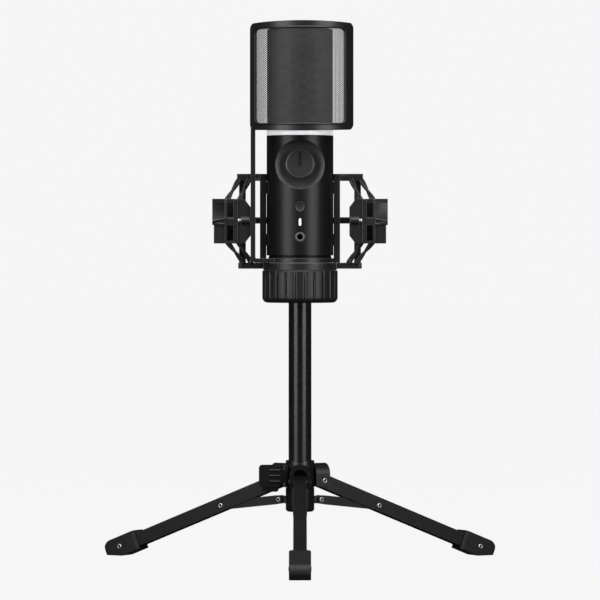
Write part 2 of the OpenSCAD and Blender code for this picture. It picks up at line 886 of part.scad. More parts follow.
module pop_frame() {
    left_x = pop_x + pop_r * sin(pop_left);
    right_x = pop_x + pop_r * sin(pop_right);
    color(black) difference() {
        intersection() {
            bent(pop_r, pop_r - pop_t, pop_left, pop_right, pop_z, pop_top);
            slab(mic_y - pop_r - 1, mic_y) crowned(left_x, right_x, pop_z, pop_top, 5);
        }
        slab(mic_y - pop_r - 2, mic_y + 1)
            translate([window_left, window_z])
                round_rect([window_right - window_left, window_top - window_z], 3);
        pop_mesh();
        pop_tenon();
    }
}

module pop_mesh() {
    middle = pop_r - pop_t / 2;
    color("#8f9194") bent(middle + mesh_t / 2, middle - mesh_t / 2, -64, 55,
                          window_z - 2, window_top + 2);
}

// Tongue of the arm, held in the lower left corner of the frame
module pop_tenon() {
    translate([-32.3, arm_y - 3.5, pop_z - 3]) cube([1.4, 4, 10]);
}

module pop_arm() {
    foot_t = 2.9;
    bend = 3.5;
    foot_z0 = disc_top + 0.1;
    color(black) {
        difference() {
            translate([arm_x, arm_y - arm_w / 2, foot_z0])
                cube([arm_t, arm_w, pop_z - 1 - foot_z0]);
            translate([arm_x - eps, arm_y - arm_w, foot_z0 - eps]) cube([bend, 2 * arm_w, bend]);
        }
        intersection() {
            translate([arm_x + bend, arm_y, foot_z0 + bend]) rod_y(bend, arm_w);
            translate([arm_x, arm_y - arm_w, foot_z0]) cube([bend, 2 * arm_w, bend]);
        }
        pop_tenon();
        at_mic() difference() {
            union() {
                translate([0, 0, foot_z0]) cylinder(r = post_in - 0.2, h = foot_t);
                translate([arm_x + bend - eps, arm_y - mic_y - arm_w / 2, foot_z0])
                    cube([18, arm_w, foot_t]);
            }
            translate([0, 0, foot_z0 - 1]) cylinder(r = base_r + 0.2, h = 10);
        }
    }
}

// ---------------------------------------------------------------- output

stand_tube();
lower_hub();
tube_plug();
swivel_socket();
tilt_bolt();
slider_hub();
leg_pins();
lever_pin();
lock_shoe();
lock_lever();
leg(front_az);  // leg_front
leg(left_az);  // leg_left
leg(right_az);  // leg_right
foot(front_az);  // foot_front
foot(left_az);  // foot_left
foot(right_az);  // foot_right
leg_rivets(front_az);  // rivets_front
leg_rivets(left_az);  // rivets_left
leg_rivets(right_az);  // rivets_right
brace(front_az);  // brace_front
brace(left_az);  // brace_left
brace(right_az);  // brace_right
yoke_stem();
yoke_band();
carrier(-1);  // carrier_left
carrier(1);  // carrier_right
carrier_screws();
cords_upper();
cords_lower();
tilt_knob();
cradle_base();
cradle_band();
cradle_side(-1);  // cradle_side_left
cradle_side(1);  // cradle_side_right
cradle_pads();
mic_body();
mic_base();
thread_collar();
usb_port();
main_board();
chassis();
light_ring();
grille();
grille_cap();
foam_liner();
capsule();
knob_dish();
potentiometer();
control_inlay();
mute_switch();
led_window();
headphone_jack();
gain_shaft();
gain_knob();
mute_button();
thumb_nut();
pop_frame();
pop_mesh();
pop_arm();
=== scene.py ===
"""Looks of a desktop microphone on a folding tripod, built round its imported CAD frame.

Every length is in metres. The front of the microphone faces -Y and Z is up.
"""

import functools
import logging
import math
from dataclasses import dataclass
from enum import Enum
from typing import Callable, Iterable, Optional, Sequence

import bmesh
import bpy
from mathutils import Matrix, Vector


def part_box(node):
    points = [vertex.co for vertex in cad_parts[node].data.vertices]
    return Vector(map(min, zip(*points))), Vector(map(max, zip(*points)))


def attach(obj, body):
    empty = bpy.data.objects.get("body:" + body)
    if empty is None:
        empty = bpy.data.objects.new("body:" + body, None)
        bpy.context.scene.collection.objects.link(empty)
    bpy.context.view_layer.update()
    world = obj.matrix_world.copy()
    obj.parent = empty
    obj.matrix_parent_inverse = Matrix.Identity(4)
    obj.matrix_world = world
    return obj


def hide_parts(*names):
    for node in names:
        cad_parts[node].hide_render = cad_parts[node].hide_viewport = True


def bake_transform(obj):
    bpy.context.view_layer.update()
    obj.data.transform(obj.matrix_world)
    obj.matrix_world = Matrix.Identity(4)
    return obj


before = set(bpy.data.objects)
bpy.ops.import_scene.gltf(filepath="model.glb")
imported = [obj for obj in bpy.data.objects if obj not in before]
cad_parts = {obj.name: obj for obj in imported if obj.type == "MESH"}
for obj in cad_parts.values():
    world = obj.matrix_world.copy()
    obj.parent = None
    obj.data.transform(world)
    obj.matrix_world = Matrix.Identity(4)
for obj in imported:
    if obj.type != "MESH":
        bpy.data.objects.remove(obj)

LOG = logging.getLogger("microphone")
MM = 0.001
TURN = 2 * math.pi
EVEN_LIMIT = 20000

Point = Sequence[float]


class Axis(Enum):
    """Direction that a turned piece is turned about."""

    X = (1.0, 0.0, 0.0)
    Y = (0.0, 1.0, 0.0)
    Z = (0.0, 0.0, 1.0)

    @property
    def vector(self) -> Vector:
        """The axis as a unit vector."""
        return Vector(self.value)


# ---------------------------------------------------------------- finishes


class Nodes:
    """Short ways to wire a material's nodes."""

    def __init__(self, name: str) -> None:
        """Makes a new material with a Principled shader.

        Args:
            name: The material's name.
        """
        self.material = bpy.data.materials.new(name)
        self.material.use_nodes = True
        self.tree = self.material.node_tree
        self.shader = self.tree.nodes["Principled BSDF"]
        self.place = self.tree.nodes.new("ShaderNodeTexCoord").outputs["Object"]

    def add(self, kind: str, **values: object) -> bpy.types.Node:
        """Adds a node and sets its properties or input values.

        Args:
            kind: The node's type, without "ShaderNode".
            values: Input names, with _ for a space, or property names.

        Returns:
            The new node.
        """
        node = self.tree.nodes.new("ShaderNode" + kind)
        for key, value in values.items():
            if hasattr(node, key):
                setattr(node, key, value)
            else:
                node.inputs[key.replace("_", " ")].default_value = value
        return node

    def give(self, **values: object) -> None:
        """Sets plain values of the shader.

        Args:
            values: Input names, with _ for a space.
        """
        for key, value in values.items():
            self.shader.inputs[key.replace("_", " ")].default_value = value

    def link(self, source: bpy.types.NodeSocket, target: bpy.types.NodeSocket) -> None:
        """Joins an output socket to an input socket."""
        self.tree.links.new(source, target)

    def stretched(self, stretch: Point) -> bpy.types.NodeSocket:
        """Object coordinates scaled along each axis.

        Args:
            stretch: Scale along X, Y and Z.

        Returns:
            The vector output.
        """
        if tuple(stretch) == (1.0, 1.0, 1.0):
            return self.place
        mapping = self.add("Mapping")
        mapping.inputs["Scale"].default_value = stretch
        self.link(self.place, mapping.inputs["Vector"])
        return mapping.outputs["Vector"]

    def noise(self, size: float, detail: float, stretch: Point = (1.0, 1.0, 1.0)) -> bpy.types.NodeSocket:
        """Cloudy noise with features of a given size.

        Args:
            size: Feature size in metres.
            detail: Number of finer layers.
            stretch: Scale along each axis, to draw the grain out.

        Returns:
            The factor output.
        """
        node = self.add("TexNoise", Scale=1.0 / size, Detail=detail)
        self.link(self.stretched(stretch), node.inputs["Vector"])
        return node.outputs["Fac"]

    def spread(self, source: bpy.types.NodeSocket, low: float, high: float) -> bpy.types.NodeSocket:
        """Maps the middle of a noise to a range of values.

        Args:
            source: A factor socket.
            low: Result where the noise is low.
            high: Result where the noise is high.

        Returns:
            The result socket.
        """
        node = self.add("MapRange")
        for name, value in (("From Min", 0.3), ("From Max", 0.7), ("To Min", low), ("To Max", high)):
            node.inputs[name].default_value = value
        self.link(source, node.inputs["Value"])
        return node.outputs["Result"]

    def tint(self, source: bpy.types.NodeSocket, dark: Point, pale: Point) -> None:
        """Drives the base colour between two tones.

        Args:
            source: A factor socket.
            dark: Linear colour where the factor is low.
            pale: Linear colour where the factor is high.
        """
        ramp = self.add("ValToRGB")
        ramp.color_ramp.elements[0].position = 0.3
        ramp.color_ramp.elements[1].position = 0.7
        ramp.color_ramp.elements[0].color = (*dark, 1.0)
        ramp.color_ramp.elements[1].color = (*pale, 1.0)
        self.link(source, ramp.inputs["Fac"])
        self.link(ramp.outputs["Color"], self.shader.inputs["Base Color"])

    def bump(self, height: bpy.types.NodeSocket, strength: float, depth: float) -> None:
        """Roughens the surface.

        Args:
            height: A height socket.
            strength: How strongly the bump shows.
            depth: Height of the bump in metres.
        """
        node = self.add("Bump", Strength=strength, Distance=depth)
        self.link(height, node.inputs["Height"])
        self.link(node.outputs["Normal"], self.shader.inputs["Normal"])


@dataclass(frozen=True)
class Finish:
    """A solid surface: base tone, gloss, and a fine grain."""

    name: str
    color: tuple[float, float, float]
    roughness: float
    metallic: float = 0.0
    grain: float = 0.35 * MM
    grain_strength: float = 0.2
    grain_depth: float = 0.03 * MM
    mottle: float = 0.2
    gloss_change: float = 0.05
    stretch: tuple[float, float, float] = (1.0, 1.0, 1.0)
    specular: float = 0.5

    def build(self) -> bpy.types.Material:
        """Makes the material.

        Returns:
            The finished material.
        """
        nodes = Nodes(self.name)
        nodes.give(Metallic=self.metallic, Specular_IOR_Level=self.specular)
        grain = nodes.noise(self.grain, 3.0, self.stretch)
        cloud = nodes.noise(9 * MM, 4.0)
        dark = tuple(c * (1 - self.mottle) for c in self.color)
        pale = tuple(c * (1 + self.mottle) for c in self.color)
        nodes.tint(cloud, dark, pale)
        low = max(0.02, self.roughness - self.gloss_change)
        rough = nodes.spread(grain, low, self.roughness + self.gloss_change)
        nodes.link(rough, nodes.shader.inputs["Roughness"])
        nodes.bump(grain, self.grain_strength, self.grain_depth)
        return nodes.material


@dataclass(frozen=True)
class Glow:
    """A milky window lit from behind."""

    name: str
    strength: float
    mottle: float = 0.06

    def build(self) -> bpy.types.Material:
        """Makes the material.

        Returns:
            The finished material.
        """
        nodes = Nodes(self.name)
        nodes.give(Emission_Color=(0.96, 0.975, 1.0, 1.0), Emission_Strength=self.strength)
        cloud = nodes.noise(4 * MM, 2.0)
        nodes.tint(cloud, (0.7, 0.71, 0.73), (0.8, 0.81, 0.83))
        rough = nodes.spread(cloud, 0.3 - self.mottle, 0.3 + self.mottle)
        nodes.link(rough, nodes.shader.inputs["Roughness"])
        nodes.bump(nodes.noise(0.4 * MM, 2.0), 0.1, 0.02 * MM)
        return nodes.material


@dataclass(frozen=True)
class Braid:
    """A woven sleeve over elastic: small crossing ribs."""

    name: str
    color: tuple[float, float, float]
    rib: float = 0.55 * MM

    def build(self) -> bpy.types.Material:
        """Makes the material.

        Returns:
            The finished material.
        """
        nodes = Nodes(self.name)
        nodes.give(Sheen_Weight=0.06)
        weave = nodes.add("TexVoronoi", Scale=1.0 / self.rib)
        nodes.link(nodes.place, weave.inputs["Vector"])
        height = weave.outputs["Distance"]
        nodes.tint(nodes.spread(height, 0.0, 1.0), self.color, tuple(c * 2.2 for c in self.color))
        nodes.link(nodes.spread(height, 0.55, 0.75), nodes.shader.inputs["Roughness"])
        nodes.bump(height, 0.6, 0.15 * MM)
        return nodes.material


@dataclass(frozen=True)
class Foam:
    """Open-cell foam."""

    name: str
    color: tuple[float, float, float]
    cell: float = 0.9 * MM

    def build(self) -> bpy.types.Material:
        """Makes the material.

        Returns:
            The finished material.
        """
        nodes = Nodes(self.name)
        cells = nodes.add("TexVoronoi", Scale=1.0 / self.cell)
        nodes.link(nodes.place, cells.inputs["Vector"])
        height = cells.outputs["Distance"]
        nodes.tint(height, tuple(c * 0.4 for c in self.color), self.color)
        nodes.link(nodes.spread(nodes.noise(2 * MM, 2.0), 0.85, 0.98), nodes.shader.inputs["Roughness"])
        nodes.bump(height, 1.0, 0.4 * MM)
        return nodes.material


POWDER = Finish("satin_powder_coat", (0.005, 0.005, 0.0052), 0.34, grain=0.5 * MM, grain_strength=0.22,
                specular=0.42)
TUBE_COAT = Finish("tube_coat", (0.007, 0.007, 0.0073), 0.24, grain=0.6 * MM, grain_strength=0.12,
                   stretch=(1.0, 1.0, 0.15))
ANODISED = Finish("satin_anodised", (0.006, 0.006, 0.0063), 0.36, grain=0.18 * MM, grain_strength=0.16,
                  gloss_change=0.06, specular=0.34)
# Partly painted light: the turned grain is real, but the grey is raised above the body's black to stand in
# for the light the dish's cone reflects.
TURNED_PAINTED_LIGHT = Finish("turned_anodised_painted_light", (0.034, 0.034, 0.0345), 0.42, grain=0.2 * MM, grain_strength=0.15,
                stretch=(1.0, 0.25, 1.0), specular=0.7)
KNOB_FACE = Finish("turned_knob", (0.016, 0.016, 0.0163), 0.44, grain=0.2 * MM, grain_strength=0.15,
                   stretch=(1.0, 0.25, 1.0), specular=0.5)
BRIGHT_EDGE = Finish("diamond_cut_edge", (0.30, 0.30, 0.31), 0.22, metallic=1.0, grain=0.2 * MM,
                     grain_strength=0.1)
NYLON = Finish("matte_nylon", (0.008, 0.008, 0.0082), 0.40, grain=0.28 * MM, grain_strength=0.35,
               grain_depth=0.05 * MM)
HUB_NYLON = Finish("hub_nylon", (0.006, 0.006, 0.0062), 0.30, grain=0.3 * MM, grain_strength=0.18)
FRAME_SATIN = Finish("filter_satin", (0.009, 0.009, 0.0093), 0.36, grain=0.3 * MM, grain_strength=0.2)
# Painted highlight: a pale grey on rounded edges and over the headphone collar, standing in for the light
# they catch.
PAINTED_HIGHLIGHT = Finish("painted_highlight_grey", (0.075, 0.075, 0.076), 0.36, grain=0.3 * MM, grain_strength=0.1,
                   specular=0.6)
MESH_COAT = Finish("mesh_coat", (0.034, 0.034, 0.035), 0.5, grain=0.2 * MM)
SATIN_INLAY = Finish("satin_inlay", (0.007, 0.007, 0.0073), 0.3, grain=0.2 * MM, grain_strength=0.1)
ZINC = Finish("zinc_plate", (0.50, 0.50, 0.51), 0.30, metallic=1.0, grain=0.3 * MM, grain_strength=0.2)
NICKEL = Finish("dark_nickel", (0.36, 0.36, 0.365), 0.42, metallic=1.0, grain=0.25 * MM, grain_strength=0.15)
RUBBER = Finish("boot_rubber", (0.006, 0.006, 0.0061), 0.5, grain=0.4 * MM, grain_strength=0.4,
                grain_depth=0.05 * MM, specular=0.3)
BRASS = Finish("plain_brass", (0.62, 0.42, 0.16), 0.32, metallic=1.0)
BOARD = Finish("solder_mask", (0.012, 0.07, 0.035), 0.35, grain=1.2 * MM, mottle=0.4)
INNER = Finish("inner_plastic", (0.05, 0.05, 0.055), 0.6)
# Painted shade: a near-black colour put in the knob's pointer groove and the socket's bore.
SHADOW = Finish("painted_shade_recess", (0.004, 0.004, 0.004), 0.8, grain_strength=0.4)
RING_LIGHT = Glow("light_ring_glow", 0.40)
LAMP_LIGHT = Glow("lamp_glow", 0.8)
CORD_SLEEVE = Braid("elastic_sleeve", (0.006, 0.006, 0.0063))
FOAM = Foam("grey_foam", (0.03, 0.03, 0.031))


Surface = Finish | Glow | Braid | Foam


@functools.cache
def material_of(finish: Surface) -> bpy.types.Material:
    """Builds each finish once.

    Args:
        finish: The finish wanted.

    Returns:
        Its material.
    """
    return finish.build()


# ---------------------------------------------------------------- mesh tools


def add_object(name: str, data: bpy.types.ID) -> bpy.types.Object:
    """Adds an object to the scene.

    Args:
        name: Its name.
        data: Its mesh, curve, light or camera.

    Returns:
        The object, at the origin.
    """
    made = bpy.data.objects.new(name, data)
    bpy.context.scene.collection.objects.link(made)
    return made


def add_piece(name: str, mesh: bmesh.types.BMesh, finish: Surface,
              sharp_deg: float = 35.0) -> bpy.types.Object:
    """Turns a bmesh into an object at the origin, shaded smooth between sharp edges.

    Args:
        name: The object's name.
        mesh: The finished bmesh, which is freed.
        finish: Its finish.
        sharp_deg: Edges that turn more than this stay sharp.

    Returns:
        The new object.
    """
    data = bpy.data.meshes.new(name)
    mesh.to_mesh(data)
    mesh.free()
    for face in data.polygons:
        face.use_smooth = True
    data.set_sharp_from_angle(angle=math.radians(sharp_deg))
    data.materials.append(material_of(finish))
    return add_object(name, data)


def place_on(piece: bpy.types.Object, body: str, slot: str, *nodes: str) -> None:
    """Makes a piece ride on a body and stand for CAD nodes.

    Args:
        piece: The piece.
        body: The CAD body it rides on.
        slot: The record's material slot; not used.
        nodes: CAD nodes it replaces.
    """
    if not piece.modifiers and len(piece.data.polygons) < EVEN_LIMIT:
        even = piece.modifiers.new("even_shading", "WEIGHTED_NORMAL")
        even.keep_sharp = True
        even.weight = 80
    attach(piece, body)
    if nodes:
        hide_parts(*nodes)
    LOG.info("%s rides on %s", piece.name, body)


def turned(profile: Iterable[tuple[float, float]], axis: Axis = Axis.Z, centre: Point = (0.0, 0.0, 0.0),
           steps: int = 96) -> bmesh.types.BMesh:
    """Turns a closed profile about an axis.

    Args:
        profile: Points as (radius, distance along the axis); the last joins the first.
        axis: The axis of turning.
        centre: A point on the axis.
        steps: Number of steps in a turn.

    Returns:
        The turned mesh.
    """
    mesh = bmesh.new()
    along = axis.vector
    out = Axis.X.vector if axis is not Axis.X else Axis.Z.vector
    base = Vector(centre)
    verts = [mesh.verts.new(base + out * max(r, 0.0) + along * h) for r, h in profile]
    edges = [mesh.edges.new((a, b)) for a, b in zip(verts, verts[1:] + verts[:1])]
    bmesh.ops.spin(mesh, geom=verts + edges, cent=base, axis=along, angle=TURN, steps=steps, use_merge=True)
    bmesh.ops.remove_doubles(mesh, verts=mesh.verts, dist=1e-6)
    bmesh.ops.dissolve_degenerate(mesh, dist=1e-7, edges=mesh.edges)
    bmesh.ops.recalc_face_normals(mesh, faces=mesh.faces)
    return mesh


def round_curve(name: str, radius: float) -> bpy.types.Curve:
    """Makes an empty curve that shows as a round bar.

    Args:
        name: The curve's name.
        radius: Radius of the bar.

    Returns:
        The curve.
    """
    curve = bpy.data.curves.new(name, "CURVE")
    curve.dimensions = "3D"
    curve.bevel_depth = radius
    curve.bevel_resolution = 3
    curve.use_fill_caps = True
    return curve


def as_mesh(name: str, curve: bpy.types.Curve, finish: Surface) -> bpy.types.Object:
    """Makes a mesh object from a curve.

    Args:
        name: The object's name.
        curve: The finished curve.
        finish: Its finish.

    Returns:
        The mesh object.
    """
    curve.materials.append(material_of(finish))
    shaper = add_object(name, curve)
    bpy.context.view_layer.update()
    data = bpy.data.meshes.new_from_object(shaper)
    if not data.materials:
        data.materials.append(material_of(finish))
    bpy.data.objects.remove(shaper)
    return add_object(name, data)


def merge(mesh: bmesh.types.BMesh, extra: bmesh.types.BMesh) -> None:
    """Adds one bmesh to another.

    Args:
        mesh: The bmesh that grows.
        extra: The one to add, which is freed.
    """
    data = bpy.data.meshes.new("extra")
    extra.to_mesh(data)
    extra.free()
    mesh.from_mesh(data)
    bpy.data.meshes.remove(data)


def block(mesh: bmesh.types.BMesh, low: Point, high: Point) -> list[bmesh.types.BMVert]:
    """Adds a box between two corners.

    Args:
        mesh: The bmesh to add to.
        low: The lowest corner.
        high: The highest corner.

    Returns:
        The new vertices.
    """
    size = Vector(high) - Vector(low)
    middle = (Vector(high) + Vector(low)) / 2
    matrix = Matrix.Translation(middle) @ Matrix.Diagonal((*size, 1.0))
    return bmesh.ops.create_cube(mesh, size=1.0, matrix=matrix)["verts"]


def pill(half: float, bottom: float, top: float, front: float, depth: float,
         steps: int) -> bmesh.types.BMesh:
    """An upright bar with round ends, for cutting into a front face.

    Args:
        half: Half its width.
        bottom: Z of its lower end.
        top: Z of its upper end.
        front: Y of its front.
        depth: Its depth along Y.
        steps: Points round its outline.

    Returns:
        The closed bar.
    """
    mesh = bmesh.new()
    bmesh.ops.create_circle(mesh, cap_ends=True, segments=steps, radius=half)
    for vert in mesh.verts:
        rise = (top - half) if vert.co.y > 0 else (bottom + half)
        vert.co = Vector((vert.co.x, front, rise + vert.co.y))
    made = bmesh.ops.extrude_face_region(mesh, geom=list(mesh.faces))
    moved = [part for part in made["geom"] if isinstance(part, bmesh.types.BMVert)]
    bmesh.ops.translate(mesh, verts=moved, vec=(0.0, depth, 0.0))
    bmesh.ops.recalc_face_normals(mesh, faces=mesh.faces)
    return mesh


def softened(node: str, finish: Surface, width: float, segments: int = 2, sharp_deg: float = 32.0,
             edge: Optional[Surface] = None) -> bpy.types.Object:
    """Copies a CAD node with its edges rounded over.

    Args:
        node: The CAD node.
        finish: The finish of the copy.
        width: Width of the rounded edges.
        segments: Steps across an edge.
        sharp_deg: Edges that turn more than this are rounded.
        edge: Finish of the rounded edges, where it is not the same.

    Returns:
        The new piece, not yet placed.
    """
    mesh = bmesh.new()
    mesh.from_mesh(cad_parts[node].data)
    bmesh.ops.remove_doubles(mesh, verts=mesh.verts, dist=2e-6)
    bmesh.ops.dissolve_limit(mesh, angle_limit=math.radians(0.6), verts=mesh.verts, edges=mesh.edges)
    piece = add_piece(node + "_shell", mesh, finish, sharp_deg)
    bevel = piece.modifiers.new("edges", "BEVEL")
    bevel.width = width
    bevel.segments = segments
    bevel.limit_method = "ANGLE"
    bevel.angle_limit = math.radians(sharp_deg)
    bevel.harden_normals = True
    bevel.use_clamp_overlap = True
    # The rounded edges can take their own colour, here a painted highlight.
    if edge is not None:
        piece.data.materials.append(material_of(edge))
        bevel.material = 1
    return piece


def carve(piece: bpy.types.Object, cutters: Sequence[bmesh.types.BMesh]) -> None:
    """Cuts closed shapes out of a piece and keeps the result in its mesh.

    Args:
        piece: The piece to cut.
        cutters: Closed meshes, which are freed.
    """
    for number, cutter in enumerate(cutters):
        data = bpy.data.meshes.new("cutter")
        cutter.to_mesh(data)
        cutter.free()
        tool = add_object("cutter", data)
        cut = piece.modifiers.new(f"cut_{number}", "BOOLEAN")
        cut.operation = "DIFFERENCE"
        cut.solver = "EXACT"
        cut.object = tool
        settle(piece)
        bpy.data.objects.remove(tool)
    piece.data.set_sharp_from_angle(angle=math.radians(35))


def settle(piece: bpy.types.Object) -> None:
    """Applies a piece's modifiers to its mesh.

    Args:
        piece: The piece.
    """
    bpy.context.view_layer.update()
    shaped = piece.evaluated_get(bpy.context.evaluated_depsgraph_get())
    data = bpy.data.meshes.new_from_object(shaped)
    old = piece.data
    piece.modifiers.clear()
    piece.data = data
    bpy.data.meshes.remove(old)


def dress(node: str, finish: Surface) -> None:
    """Gives a CAD node that stays a finish of its own.

    Args:
        node: The CAD node.
        finish: The finish.
    """
    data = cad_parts[node].data
    data.materials.clear()
    data.materials.append(material_of(finish))


# ---------------------------------------------------------------- studio


@dataclass
class Studio:
    """Camera, soft lights and a pale floor."""

    distance: float = 2.862
    eye_height: float = 0.219
    lens: float = 248.6
    tilt_down: float = math.radians(0.6914)
    paper: float = 0.92
    fill: float = 0.04

    def build(self) -> None:
        """Makes the camera, the lights, the world and the floor."""
        self._camera()
        self._softbox("left_softbox", azimuth=-44.0, height=0.75, distance=1.6, size=(1.0, 2.0), power=24.0)
        self._softbox("right_softbox", azimuth=44.0, height=0.75, distance=1.6, size=(1.0, 2.0), power=24.0)
        self._softbox("top_softbox", azimuth=0.0, height=1.7, distance=0.25, size=(1.1, 0.9), power=16.0)
        self._softbox("front_softbox", azimuth=0.0, height=1.7, distance=1.1, size=(1.2, 0.5), power=9.0)
        self._world()
        self._floor()

    def _camera(self) -> None:
        """Places the camera level with the middle of the object."""
        data = bpy.data.cameras.new("camera")
        data.lens = self.lens
        data.sensor_width = 36.0
        data.clip_end = 60.0
        camera = add_object("camera", data)
        camera.location = (0.0, -self.distance, self.eye_height)
        camera.rotation_euler = (math.pi / 2 - self.tilt_down, 0.0, 0.0)
        bpy.context.scene.camera = camera

    def _softbox(self, name: str, azimuth: float, height: float, distance: float, size: tuple[float, float],
                 power: float) -> None:
        """Adds a rectangular soft light that looks at the microphone.

        Args:
            name: The light's name.
            azimuth: Degrees from the front, positive to the right.
            height: Height above the floor.
            distance: Level distance from the object.
            size: Width and height of the light.
            power: Power in watts.
        """
        data = bpy.data.lights.new(name, "AREA")
        data.shape = "RECTANGLE"
        data.size, data.size_y = size
        data.energy = power
        light = add_object(name, data)
        turn = math.radians(azimuth)
        light.location = (distance * math.sin(turn), -distance * math.cos(turn), height)
        aim = Vector((0.0, 0.0, 0.2)) - light.location
        light.rotation_euler = aim.to_track_quat("-Z", "Y").to_euler()

    def _world(self) -> None:
        """Pale to the camera, dim to the object."""
        world = bpy.data.worlds.new("studio")
        world.use_nodes = True
        bpy.context.scene.world = world
        tree = world.node_tree
        tree.nodes.clear()
        output = tree.nodes.new("ShaderNodeOutputWorld")
        mix = tree.nodes.new("ShaderNodeMixShader")
        dim = tree.nodes.new("ShaderNodeBackground")
        pale = tree.nodes.new("ShaderNodeBackground")
        rays = tree.nodes.new("ShaderNodeLightPath")
        dim.inputs["Color"].default_value = (self.fill, self.fill, self.fill, 1.0)
        pale.inputs["Color"].default_value = (self.paper, self.paper, self.paper, 1.0)
        tree.links.new(rays.outputs["Is Camera Ray"], mix.inputs["Fac"])
        tree.links.new(dim.outputs["Background"], mix.inputs[1])
        tree.links.new(pale.outputs["Background"], mix.inputs[2])
        tree.links.new(mix.outputs["Shader"], output.inputs["Surface"])
        scene = bpy.context.scene
        scene.view_settings.view_transform = "Standard"
        scene.view_settings.look = "None"

    def _floor(self) -> None:
        """A wide pale floor that glows only to the camera."""
        mesh = bmesh.new()
        bmesh.ops.create_circle(mesh, cap_ends=True, segments=96, radius=14.0)
        data = bpy.data.meshes.new("floor")
        mesh.to_mesh(data)
        mesh.free()
        nodes = Nodes("floor_paper")
        nodes.give(Base_Color=(0.008, 0.008, 0.008, 1.0), Roughness=1.0, Specular_IOR_Level=0.0,
                   Emission_Color=(1.0, 1.0, 1.0, 1.0))
        glow = nodes.add("MapRange")
        glow.inputs["To Min"].default_value = self.fill
        glow.inputs["To Max"].default_value = self.paper - 0.004
        nodes.link(nodes.add("LightPath").outputs["Is Camera Ray"], glow.inputs["Value"])
        nodes.link(glow.outputs["Result"], nodes.shader.inputs["Emission Strength"])
        data.materials.append(nodes.material)
        floor = add_object("floor", data)


# ---------------------------------------------------------------- tripod


